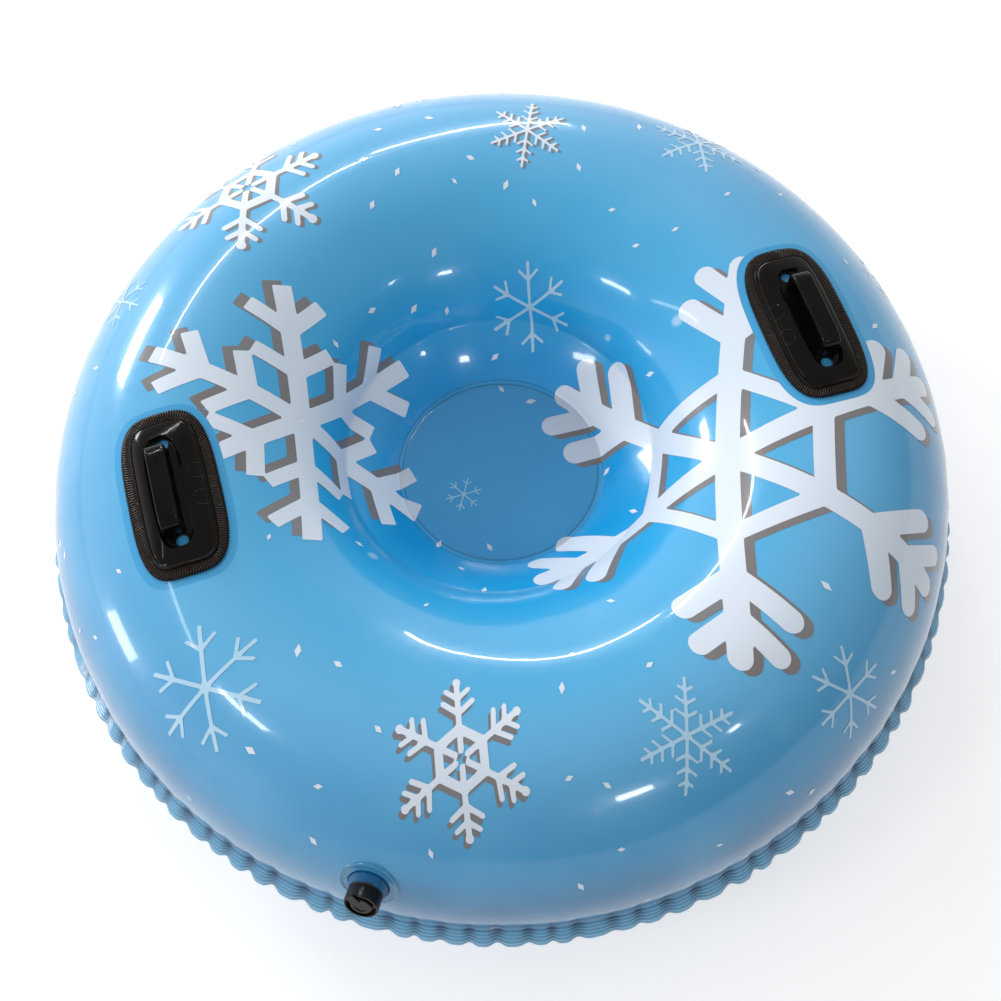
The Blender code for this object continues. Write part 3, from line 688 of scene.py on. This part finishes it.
def make_sheet(name, side, material):
    """Sheet as one closed shell: rings of its outer face out to the rim, then of its inner face back in."""
    seam = SECTIONS[side][0][-1] - FLANGE
    rings = [(arc, count, SHEET / 2) for arc, count in skin_rings(seam)]
    rings += [(arc, count, -SHEET / 2) for arc, count in chamber_rings(seam)]
    arcs, bearings, lifts = (np.concatenate(parts) for parts in zip(*(
        (np.full(count, arc), full_turn(count), np.full(count, lift))
        for arc, count, lift in rings)))
    points = lay(arcs, bearings, lifts, side)
    faces = ring_mesh([count for _, count, _ in rings])
    if side < 0:
        faces = faces[:, ::-1]
    # tone carries the painted shade of the rim's folds
    flat, tone = polar(arcs, bearings), painted_rim_shade(arcs - seam, bearings)
    return make_mesh(name, points, faces, material, "tube", flat=flat, tone=tone)


def bored(obj, origin, up, radius, low, high, count):
    """Cut a round hole through a piece with a cylinder of count sides, from low to high along a line."""
    side = np.cross(up, (1, 0, 0) if abs(up[2]) > 0.9 else (0, 0, 1))
    side = side / np.linalg.norm(side)
    other = np.cross(up, side)
    turn = full_turn(count)[:, None]
    ring = origin + radius * (np.cos(turn) * side + np.sin(turn) * other)
    points = np.concatenate((ring + low * up, ring + high * up))
    faces = [list(range(count))[::-1], list(range(count, 2 * count))]
    for first in range(count):
        second = (first + 1) % count
        faces.append([first, second, count + second, count + first])
    mesh = bpy.data.meshes.new("drill")
    mesh.from_pydata(points.tolist(), [], faces)
    drill = add_object("drill", mesh)
    cut = obj.modifiers.new("hole", "BOOLEAN")
    cut.operation, cut.object, cut.solver = "DIFFERENCE", drill, "EXACT"
    bpy.context.view_layer.update()
    done = bpy.data.meshes.new_from_object(obj.evaluated_get(bpy.context.evaluated_depsgraph_get()))
    obj.modifiers.clear()
    obj.data = done
    bpy.data.objects.remove(drill)


def smooth(obj, degrees):
    """Smooth shading with sharp edges above an angle."""
    obj.data.shade_smooth()
    obj.data.set_sharp_from_angle(angle=math.radians(degrees))


top_skin = make_sheet("top_skin", 1, SKIN)
bored(top_skin, VALVE_ORIGIN, VALVE_UP, VALVE_BORE, low=-0.012, high=0.02, count=64)
smooth(top_skin, 60)
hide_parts("top_sheet")
bottom_skin = make_sheet("bottom_skin", -1, UNDERSIDE)
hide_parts("bottom_sheet")


# Print

def capsule(x, y, bar):
    """Signed distance to a bar with round ends: ends, then half width."""
    x0, y0, x1, y1, half = bar
    run, rise = x1 - x0, y1 - y0
    share = np.clip(((x - x0) * run + (y - y0) * rise) / (run ** 2 + rise ** 2), 0, 1)
    return np.hypot(x - x0 - share * run, y - y0 - share * rise) - half


def plank(x, y, bar):
    """Signed distance to a bar with square ends: ends, then half width."""
    x0, y0, x1, y1, half = bar
    length = math.hypot(x1 - x0, y1 - y0)
    run, rise = (x1 - x0) / length, (y1 - y0) / length
    along = np.abs((x - x0) * run + (y - y0) * rise - length / 2) - length / 2
    aside = np.abs((y - y0) * run - (x - x0) * rise) - half
    return np.hypot(np.maximum(along, 0), np.maximum(aside, 0)) + np.minimum(np.maximum(along, aside), 0)


def flake(bars, form, discs=()):
    """Six-fold figure: the plane is folded into half a sector, and the nearest bar or disc there counts."""

    def distance(x, y):
        """Signed distance to the figure at a tip radius of 1."""
        angle = np.arctan2(y, x)
        radius = np.hypot(x, y)
        folded = np.abs((angle + math.pi / 6) % (math.pi / 3) - math.pi / 6)
        u, v = radius * np.cos(folded), radius * np.sin(folded)
        result = np.minimum.reduce([form(u, v, bar) for bar in bars])
        for centre_x, centre_y, size in discs:
            result = np.minimum(result, np.hypot(u - centre_x, v - centre_y) - size)
        return result

    return distance


def branch(start, length, degrees, half):
    """Bar that leaves the arm at a share of its length, at an angle to it."""
    turn = math.radians(degrees)
    return (start, 0, start + length * math.cos(turn), length * math.sin(turn), half)


# Bars in shares of the tip radius: two ends and half a width
BOLD = flake([
    (0, 0, 0.98, 0, 0.062),
    branch(0.36, 0.3, 58, 0.054),
    branch(0.66, 0.3, 52, 0.054),
], plank)
LATTICE = flake([
    (0, 0, 0.96, 0, 0.05),
    (0.42, 0, 0.21, 0.3637, 0.04),
    (0.62, 0, 0.78, 0.2, 0.05),
    (0.8, 0, 0.93, 0.15, 0.045),
], capsule)
STAR = flake([
    (0.1, 0, 0.96, 0, 0.04),
    branch(0.55, 0.26, 55, 0.036),
    branch(0.74, 0.2, 55, 0.034),
    (0.36, 0, 0.18, 0.3118, 0.06),
], capsule, discs=[(0.96, 0, 0.06)])
FERN = flake([
    (0, 0, 0.98, 0, 0.03),
    branch(0.3, 0.24, 60, 0.026),
    branch(0.52, 0.22, 60, 0.026),
    branch(0.74, 0.17, 60, 0.026),
], plank)
TWIG = flake([(0, 0, 0.97, 0, 0.034), branch(0.58, 0.32, 48, 0.03)], plank)

# Arc and bearing of the centre in metres and degrees, tip radius, spin, figure, shadow offset, ink
PRINTS = (
    ("left", 0.25, 161, 0.176, 22, BOLD, (-0.010, 0.007), WHITE_INK),
    ("right", 0.285, -28, 0.262, 8, LATTICE, (0.008, -0.007), WHITE_INK),
    ("far_left", 0.452, 118, 0.098, 12, STAR, (0.004, -0.003), WHITE_INK),
    ("near", 0.412, -112, 0.074, 20, STAR, (-0.004, -0.004), WHITE_INK),
    ("far", 0.405, 68, 0.052, 5, FERN, (0.003, -0.003), WHITE_INK),
    ("far_right", 0.47, 40, 0.062, 18, FERN, None, PALE_INK),
    ("near_right", 0.43, -80, 0.056, 10, FERN, None, PALE_INK),
    ("near_left", 0.45, -150, 0.066, 25, TWIG, None, PALE_INK),
    ("well", 0.2, 62, 0.055, 14, TWIG, None, PALE_INK),
    ("floor", 0.05, -160, 0.021, 0, TWIG, None, PALE_INK),
    ("shoulder_left", 0.5, 143, 0.04, 8, TWIG, None, PALE_INK),
    ("shoulder_near", 0.5, -58, 0.05, 28, TWIG, None, PALE_INK),
    ("shoulder_far", 0.53, 88, 0.05, 15, FERN, None, PALE_INK),
    ("shoulder_right", 0.545, 8, 0.044, 3, TWIG, None, PALE_INK),
)


def bare(arc, bearing):
    """Signed distance, inside below zero, to where ink may lie: clear of handles, valve and rim.

    A handle's margin is a superellipse, the valve's a circle about its axis, and the rim's an arc.
    """
    radius = np.interp(arc, ARC, RADIUS)
    x, y = radius * np.cos(bearing), radius * np.sin(bearing)
    across = np.abs(np.abs(x) - HANDLE_RADIUS) / (HANDLE_WIDTH / 2 + UNPRINTED)
    along = np.abs(y) / (HANDLE_LENGTH / 2 + UNPRINTED)
    handle = (1 - (across ** SQUARENESS + along ** SQUARENESS) ** (1 / SQUARENESS)) * HANDLE_WIDTH / 2
    valve = VALVE_MARGIN - from_valve(radius, bearing, np.interp(arc, ARC, HEIGHT))
    return np.maximum.reduce((handle, valve, arc - (SEAM_ARC - RIM_MARGIN)))


def film(field, corners):
    """Marching triangles: the part of a triangle net where the field is below zero, cut at its zero line.

    Each cut triangle is turned so that its odd corner comes first. Returns the cut edges, the share along
    each, and the triangles, whose numbers past the net's own count the cut edges.
    """
    inside = field[corners] < 0
    count = inside.sum(1)
    pieces, cuts = [corners[count == 3]], []
    for wanted, odd in ((1, True), (2, False)):
        turn = np.argmax(inside[count == wanted] == odd, axis=1)
        order = (turn[:, None] + np.arange(3)) % 3
        cuts.append(np.take_along_axis(corners[count == wanted], order, 1))
    edges = np.concatenate([cut[:, (0, other)] for cut in cuts for other in (1, 2)])
    keys, where = np.unique(np.sort(edges, 1), axis=0, return_inverse=True)
    ends = np.cumsum([len(cut) for cut in cuts for _ in (1, 2)])
    tip_1, tip_2, base_1, base_2 = np.split(where.ravel() + len(field), ends[:-1])
    pieces.append(np.stack((cuts[0][:, 0], tip_1, tip_2), -1))
    pieces.append(np.stack((base_1, cuts[1][:, 1], cuts[1][:, 2]), -1))
    pieces.append(np.stack((base_1, cuts[1][:, 2], base_2), -1))
    share = field[keys[:, 0]] / (field[keys[:, 0]] - field[keys[:, 1]])
    return keys, share, np.concatenate(pieces)


def lay_film(name, flat, faces, lift, material):
    """Film of ink over its place on the flat sheet, laid on the blown-up one."""
    points = lay(np.hypot(*flat.T), np.arctan2(flat[:, 1], flat[:, 0]), SHEET / 2 + lift, welds=0)
    make_mesh(name, points, faces, material, "tube", flat=flat)


def printed(name, arc, degrees, size, spin, figure, lift, material, shift=(0, 0)):
    """Figure drawn on the flat sheet, cut from a triangle net.

    A flake and its shadow share one net, so that the flake lies over the shadow everywhere.
    """
    pitch = min(INK_NET, size / 26)
    reach = size * 1.04 + 0.012
    u, v, corners = square_net(np.linspace(-reach, reach, int(2 * reach / pitch) + 1))
    flat = polar(arc, math.radians(degrees)) + np.stack((u, v), -1)
    x, y = turned(u - shift[0], v - shift[1], -math.radians(spin))
    field = figure(x / size, y / size) * size
    field = np.maximum(field, bare(np.hypot(*flat.T), np.arctan2(flat[:, 1], flat[:, 0])))
    keys, share, faces = film(field, corners)
    cut = (1 - share)[:, None] * flat[keys[:, 0]] + share[:, None] * flat[keys[:, 1]]
    used, faces = np.unique(faces, return_inverse=True)
    lay_film(name, np.concatenate((flat, cut))[used], faces.reshape(-1, 3), lift, material)


for label, arc, degrees, size, spin, figure, shadow, material in PRINTS:
    if shadow:
        printed(f"flake_{label}_shade", arc, degrees, size, spin, figure, SHADE_LIFT, SHADE_INK, shadow)
    printed(f"flake_{label}", arc, degrees, size, spin, figure, INK_LIFT, material)


def make_confetti():
    """Small diamonds of white ink, each a four by four net, strewn evenly over the flat sheet.

    The root of an even draw gives the arc. A diamond is dropped where it would touch a flake, a margin
    or another diamond.
    """
    chance = np.random.default_rng(DIAMOND_SEED)
    s, t, net = square_net(np.linspace(-1, 1, 5))
    flats, faces = [], []
    for _ in range(400):
        arc = SEAM_ARC * math.sqrt(chance.uniform(0.02, 0.82))
        bearing, turn = chance.uniform(0, 2 * math.pi), chance.uniform(0, math.pi)
        size = chance.uniform(*DIAMOND_SIZE)
        centre = polar(arc, bearing)
        clear = bare(np.array([arc]), np.array([bearing]))[0] < -0.01
        for _, flake_arc, degrees, flake_size, spin, figure, _, _ in PRINTS:
            away = centre - polar(flake_arc, math.radians(degrees))
            u, v = turned(*away[:, None] / flake_size, -math.radians(spin))
            clear = clear and figure(u, v)[0] * flake_size > FLAKE_SPACE
        if not clear or any(np.hypot(*(centre - other.mean(0))) < DIAMOND_SPACE for other in flats):
            continue
        long, short = (s + t) / 2 * size * 1.25, (s - t) / 2 * size * 0.62
        faces.append(net[:, ::-1] + len(s) * len(flats))
        flats.append(centre + np.stack(turned(long, short, turn), -1))
        if len(flats) == DIAMONDS:
            break
    lay_film("confetti", np.concatenate(flats), np.concatenate(faces), INK_LIFT, WHITE_INK)


make_confetti()


# Handles

def crown_drape(x, y, height):
    """Points of the right handle: the flat moulding is laid on the crown, each point by its own height."""
    radius = np.hypot(HANDLE_RADIUS + x, y)
    base = SEAM_HEIGHT + SHEET / 2 + HANDLE_CLEARANCE + wall_height(radius)
    return np.stack((HANDLE_RADIUS + x, y, base + height), -1)


def superellipse(turn, power):
    """Unit point of a rounded square's outline: cosine and sine to the power of 2 over its squareness."""
    cosine, sine = np.cos(turn), np.sin(turn)
    return np.sign(cosine) * np.abs(cosine) ** (2 / power), np.sign(sine) * np.abs(sine) ** (2 / power)


def even_turns(count, power):
    """Turns that space points evenly along the pad's outline at a squareness."""
    turn = np.linspace(0, 2 * math.pi, 40001)
    x, y = superellipse(turn, power)
    run = np.concatenate(([0], np.cumsum(np.hypot(np.diff(x * HANDLE_WIDTH), np.diff(y * HANDLE_LENGTH)))))
    return np.interp(np.arange(count) / count * run[-1], run, turn)


def dome(x, y):
    """Height of the plateau inside the border: it falls with the fourth power of the way out."""
    across = np.abs(x) / (HANDLE_WIDTH / 2 - PAD_BORDER)
    along = np.abs(y) / (HANDLE_LENGTH / 2 - PAD_BORDER)
    share = np.minimum(across ** BEAD_SQUARENESS + along ** BEAD_SQUARENESS, 1) ** (1 / BEAD_SQUARENESS)
    return DOME_EDGE + DOME_RISE * (1 - share ** 4)


# Inset from the pad's edge and height: its rounded edge, then the ribbed border with the height of its
# teeth, the bead between border and plateau, the pocket's brink with its fall, and the pocket's wall
PAD_EDGE = ((0.0006, 0.0), (0.0001, 0.0004), (0.0, 0.0012), (0.0003, 0.0019))
PAD_TEETH = (
    (0.0009, 0.0021, 0.0006),
    (0.0022, 0.0023, 0.0011),
    (0.0068, 0.0023, 0.0011),
    (0.0092, 0.0022, 0.001),
    (0.01, 0.0022, 0.0003),
)
PAD_BEAD = (
    (0.0103, 0.0028),
    (0.0106, 0.0037),
    (0.011, 0.0046),
    (0.0115, 0.0052),
    (0.0121, 0.0052),
    (0.0127, 0.0047),
    (0.0133, 0.0046),
)
POCKET_BRINK = ((0.0, 0.0), (0.0003, 0.0001), (0.0006, 0.0004), (0.0009, 0.001))
POCKET_WALL = ((0.0017, 0.0058), (0.0024, 0.004), (0.0028, 0.0034), (0.0033, 0.0031), (0.004, POCKET_FLOOR))


def make_pad():
    """Pad as one closed shell: rings drawn in from its ribbed border over the plateau into the pocket.

    Each tooth of the border is half an ellipse along the outline. A ring of one point closes each end.
    """
    wave = np.sqrt(1 - (2 * (np.arange(PAD_RIBS * RIB_SAMPLES) / RIB_SAMPLES % 1) - 1) ** 2)
    outer = np.array((HANDLE_WIDTH, HANDLE_LENGTH)) / 2
    pocket = np.array(POCKET_HALF)
    counts, points, rib_highlights = [], [], []

    def add(count, half, height, shift=0.0, tooth=0.0, reach=0.0, power=SQUARENESS):
        """One ring: half sizes, height or a function of x and y, sideways shift, and the teeth's size."""
        teeth = wave[::len(wave) // count]
        x, y = superellipse(even_turns(len(wave), power)[::len(wave) // count], power)
        x = x * (half[0] + reach * (teeth - 0.5)) + shift
        y = y * (half[1] + reach * (teeth - 0.5))
        level = height(x, y) if callable(height) else height
        counts.append(count)
        points.append(crown_drape(x, y, level + tooth * (teeth - 0.7)))
        # The tone is a painted highlight on the crests of the teeth
        rib_highlights.append(np.zeros(count) if tooth < 0.001 else teeth ** 6)

    add(1, (0, 0), 0.0)
    for share in (0.3, 0.6, 0.9):
        add(PAD_RIBS, outer * share, 0.0)
    for inset, height in PAD_EDGE:
        add(PAD_RIBS * RIB_SAMPLES, outer - inset, height, reach=0.002)
    for inset, height, tooth in PAD_TEETH:
        power = SQUARENESS + (BEAD_SQUARENESS - SQUARENESS) * inset / PAD_TEETH[-1][0]
        add(PAD_RIBS * RIB_SAMPLES, outer - inset, height, tooth=tooth, power=power)
    for inset, height in PAD_BEAD:
        add(PAD_RIBS * 2, outer - inset, height, power=BEAD_SQUARENESS)
    brink = outer - PAD_BEAD[-1][0]
    for share in np.linspace(0, 1, 22)[1:-1]:
        half = brink * (1 - share) + pocket * share
        power = BEAD_SQUARENESS * (1 - share) + SQUARENESS * share
        lowest = 0.0047 * (share < 0.2)
        shift = POCKET_SHIFT * share
        add(PAD_RIBS * 2, half, lambda x, y: np.maximum(dome(x, y), lowest), shift, power=power)
    for inset, fall in POCKET_BRINK:
        add(PAD_RIBS * 2, pocket - inset, lambda x, y: dome(x, y) - fall, shift=POCKET_SHIFT)
    for inset, height in POCKET_WALL:
        add(PAD_RIBS * 2, pocket - inset, height, shift=POCKET_SHIFT)
    for share in (0.8, 0.6, 0.4, 0.2):
        add(PAD_RIBS, (pocket - POCKET_WALL[-1][0]) * share, POCKET_FLOOR, shift=POCKET_SHIFT)
    add(1, (0, 0), POCKET_FLOOR, shift=POCKET_SHIFT)
    return np.concatenate(points), ring_mesh(counts)[:, ::-1], np.concatenate(rib_highlights)


def arch(turn, half, height, corners):
    """Rounded arch over a handle: cosine and sine of the turn, each raised to its corner's power."""
    cosine, sine = np.cos(turn), np.sin(turn)
    run = half * np.sign(cosine) * np.abs(cosine) ** corners[0]
    return np.stack((run, height * np.abs(sine) ** corners[1]), -1)


def make_grip():
    """Grip bar: rounded sections carried along the space between an outer and an inner arch."""
    steps, count = 121, 48
    along = np.linspace(0, math.pi, steps)
    outer = arch(along, GRIP_HALF, GRIP_HEIGHT, GRIP_CORNERS)
    inner = arch(along, GRIP_GAP_HALF, GRIP_GAP, GRIP_GAP_CORNERS)
    side, out = superellipse(full_turn(count), GRIP_SQUARENESS)
    flare = 1 + 0.2 * np.exp(-outer[:, 1] / 0.004)
    x = GRIP_SHIFT + side[None, :] * GRIP_WIDTH / 2 * flare[:, None]
    share = (0.5 + 0.5 * out)[None, :, None]
    place = inner[:, None, :] * (1 - share) + outer[:, None, :] * share
    dish = GRIP_DISH * (1 - smoothstep(np.abs(side), 0.72, 0.86)) * (out > 0.5)
    height = place[..., 1] - dish[None, :] * (np.sin(along)[:, None] > 0.4)
    points = crown_drape(x.ravel(), place[..., 0].ravel(), np.maximum(height.ravel(), 0.0012))
    last = len(points)
    ends = np.stack((points[:count].mean(0), points[-count:].mean(0)))
    caps = (between(1, last, count, 0), between(1, last + 1, count, last - count)[:, ::-1])
    return np.concatenate((points, ends)), np.concatenate((ring_mesh([count] * steps), *caps))


def drill_pad(obj):
    """Cut the pad's two moulding holes right through."""
    for end in (-1, 1):
        middle = np.array((HANDLE_RADIUS + HOLE_SHIFT, end * HOLE_PITCH / 2, SEAM_HEIGHT))
        bored(obj, middle, np.array((0, 0, 1.0)), HOLE_RADIUS, low=0, high=0.2, count=48)
    smooth(obj, 50)


pad_points, pad_faces, pad_rib_highlight = make_pad()
grip_points, grip_faces = make_grip()
right_pad = make_mesh(
    "handle_right_pad", pad_points, pad_faces, MOULDED, "tube", sharp=50, tone=pad_rib_highlight)
drill_pad(right_pad)
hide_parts("handle_right")
right_grip = make_mesh(
    "handle_right_grip", grip_points, grip_faces, MOULDED, "tube", sharp=60)
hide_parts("handle_right")

# The left handle is the right one turned half way round the tube's axis
for name, right in (("handle_left_pad", right_pad), ("handle_left_grip", right_grip)):
    piece = add_object(name, right.data.copy())
    places = np.empty(len(piece.data.vertices) * 3, np.float32)
    piece.data.vertices.foreach_get("co", places)
    places = places.reshape(-1, 3) * np.array((-1, -1, 1), np.float32)
    piece.data.vertices.foreach_set("co", places.ravel())
    piece.data.update()
    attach(piece, "tube")
    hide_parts("handle_left")


# Valve: its weld disc on the sheet, and the CAD pieces with their finishes

# Distance from the valve's axis and height over the sheet: disc round the boss with a raised edge
WELD_DISC = (
    (0.0204, -0.0002),
    (0.0204, 0.001),
    (0.0235, 0.001),
    (0.0255, 0.0012),
    (0.0266, 0.0019),
    (0.0276, 0.0021),
    (0.0286, 0.0018),
    (0.0293, 0.001),
    (0.0297, -0.0002),
)


def on_sheet(place, lift):
    """Points moved along the valve's axis until they stand at a height over the top sheet's outer face.

    The way to the sheet's middle line is halved 30 times between 20 mm below and 20 mm above.
    """
    low, high = np.full(len(place), -0.02), np.full(len(place), 0.02)
    for _ in range(30):
        middle = (low + high) / 2
        point = place + middle[:, None] * VALVE_UP
        radius = np.hypot(point[:, 0], point[:, 1])
        below = point[:, 2] < SEAM_HEIGHT + wall_height(radius)
        low, high = np.where(below, middle, low), np.where(below, high, middle)
    return place + (middle[:, None] + SHEET / 2 + lift) * VALVE_UP


def make_weld_disc():
    """Ring of the profile above, turned about the valve's axis and laid on the sheet, closed underneath."""
    count = 128
    turn = full_turn(count)
    spokes = np.cos(turn)[:, None] * VALVE_UPHILL + np.sin(turn)[:, None] * VALVE_ACROSS
    points = np.concatenate([on_sheet(VALVE_ORIGIN + radius * spokes, lift) for radius, lift in WELD_DISC])
    faces = ring_mesh([count] * (len(WELD_DISC) + 1)) % len(points)
    make_mesh("valve_weld", points, faces, WELD_BLUE, "tube", sharp=60)


make_weld_disc()
VALVE_FINISHES = {
    "valve_base": BOSS_BLUE,
    "valve_seal": RUBBER,
    "valve_body": HARD_BLACK,
    "valve_flap": GREY_RUBBER,
    "valve_cap": HARD_BLACK,
}
for name, material in VALVE_FINISHES.items():
    frame["nodes"][name].data.materials.clear()
    frame["nodes"][name].data.materials.append(material)


# Camera, floor and light

TARGET = np.array((0, 0, SEAM_HEIGHT))
BEARING = math.radians(-105.2)
ELEVATION = math.radians(64.56)
ROLL = math.radians(-1.755)
DISTANCE = 1.4391
FLOOR_GLOW = 0.5
FLOOR_REACH = 6.0
FLOOR_LEVEL = -0.0005


def look_at(obj, place, target, roll=0.0, along=None):
    """Turn an object so that its -Z looks from its place at a target.

    Its X is level, rolled about the line of sight, or lies along a line as far as the sight allows.
    """
    back = np.array(place) - np.array(target)
    back = back / np.linalg.norm(back)
    if along is None:
        right = np.cross((0, 0, 1), back)
    else:
        right = np.array(along) - back * (back @ np.array(along))
    right = right / np.linalg.norm(right)
    up = np.cross(back, right)
    right, up = right * math.cos(roll) + up * math.sin(roll), up * math.cos(roll) - right * math.sin(roll)
    rows = np.eye(4)
    rows[:3, 0], rows[:3, 1], rows[:3, 2], rows[:3, 3] = right, up, back, place
    obj.matrix_world = [list(column) for column in rows.T]


camera_data = bpy.data.cameras.new("camera")
camera_data.lens = 47.04
camera_data.sensor_width = 36
camera_data.shift_y = -0.0308
camera = add_object("camera", camera_data)
sight = polar(math.cos(ELEVATION), BEARING, math.sin(ELEVATION))
look_at(camera, TARGET + DISTANCE * sight, TARGET, ROLL)
bpy.context.scene.camera = camera


def seen_directly(tree):
    """1 for what the camera, gloss and glass see, and 0 for what lights the object."""
    path = node(tree, "LightPath").outputs
    seen = math_node(tree, "MAXIMUM", path["Is Camera Ray"], path["Is Glossy Ray"])
    return math_node(tree, "MAXIMUM", seen, path["Is Transmission Ray"])


def pale_floor():
    """White floor: plain white that takes the shadow, with a little glow in what cameras and gloss see."""
    material, tree, shader = new_material("pale_floor", srgb(216, 217, 219), 0.9)
    cloud = noise_of(tree, object_coords(tree), 3.0, 2.0)
    white = blend_colour(tree, cloud, srgb(214, 215, 217), srgb(219, 220, 222))
    tree.links.new(white, shader.inputs["Base Color"])
    strength = math_node(tree, "MULTIPLY", seen_directly(tree), FLOOR_GLOW)
    glow = node(tree, "Emission", (1, 1, 1, 1), strength)
    both = node(tree, "AddShader", shader.outputs[0], glow.outputs[0])
    tree.links.new(both.outputs[0], tree.nodes["Material Output"].inputs["Surface"])
    return material


corners = [(x * FLOOR_REACH, y * FLOOR_REACH, FLOOR_LEVEL) for x, y in ((-1, -1), (1, -1), (1, 1), (-1, 1))]
floor_mesh = bpy.data.meshes.new("floor")
floor_mesh.from_pydata(corners, [], [(0, 1, 2, 3)])
floor_mesh.materials.append(pale_floor())
floor = add_object("floor", floor_mesh)

# World: white at the horizon, bright low down on the far left, as beside windows, and darker overhead
WORLD_BRIGHT, WORLD_DIM, WORLD_TOP = 1.7, 0.26, 0.47
WORLD_SIDE = (-0.66, 0.75, 0.0)
world = bpy.data.worlds.new("studio")
bpy.context.scene.world = world
world.use_nodes = True
tree = world.node_tree
direction = node(tree, "TexCoord").outputs["Generated"]
towards = node(tree, "VectorMath", direction, WORLD_SIDE, operation="DOT_PRODUCT").outputs["Value"]
height = node(tree, "SeparateXYZ", direction).outputs[2]
low_down = ease(tree, towards, -0.8, 0.9, WORLD_DIM, WORLD_BRIGHT)
overhead = ease(tree, height, 0.1, 0.75)
apart = math_node(tree, "MULTIPLY", overhead, math_node(tree, "SUBTRACT", WORLD_TOP, low_down))
backdrop = tree.nodes["Background"]
backdrop.inputs["Color"].default_value = (1, 1, 1, 1)
haze = math_node(tree, "MULTIPLY", ease(tree, height, 0.1, 0.2, 1.0, 0.0), seen_directly(tree))
strength = math_node(tree, "MAXIMUM", math_node(tree, "ADD", low_down, apart), haze)
tree.links.new(strength, backdrop.inputs["Strength"])


def lamp(name, place, size, radiance, along=None):
    """Soft rectangular lamp aimed at the tube, its long side along a line if one is given.

    Radiance is the brightness that gloss mirrors, so the power is that times pi and the lamp's area.
    """
    data = bpy.data.lights.new(name, "AREA")
    data.shape = "RECTANGLE"
    data.size, data.size_y = size
    data.energy = radiance * math.pi * size[0] * size[1]
    look_at(add_object(name, data), place, (0, 0, 0.15), along=along)


lamp("window", (-1.85, 2.5, 1.42), (0.7, 0.42), 34.0)
lamp("far_tube", (0.6, 2.33, 1.68), (1.1, 0.035), 90.0, along=(-0.8, -0.05, 0.55))
lamp("long_tube", (-0.5, 2.25, 2.46), (1.4, 0.035), 90.0, along=(-1.2, -0.4, 0.08))
lamp("near_spot", (0.4, -2.3, 2.2), (0.3, 0.18), 34.0)
lamp("near_small", (1.2, -1.56, 2.34), (0.1, 0.1), 34.0)
lamp("left_bar", (-2.1, -0.45, 2.4), (0.55, 0.16), 26.0)
lamp("left_tube", (-1.9, 0.65, 2.7), (0.95, 0.08), 10.0, along=(-0.5, -0.75, -0.1))
lamp("left_window", (-3.2, 0.3, 0.6), (0.5, 0.5), 14.0)

bpy.context.scene.view_settings.view_transform = "Standard"
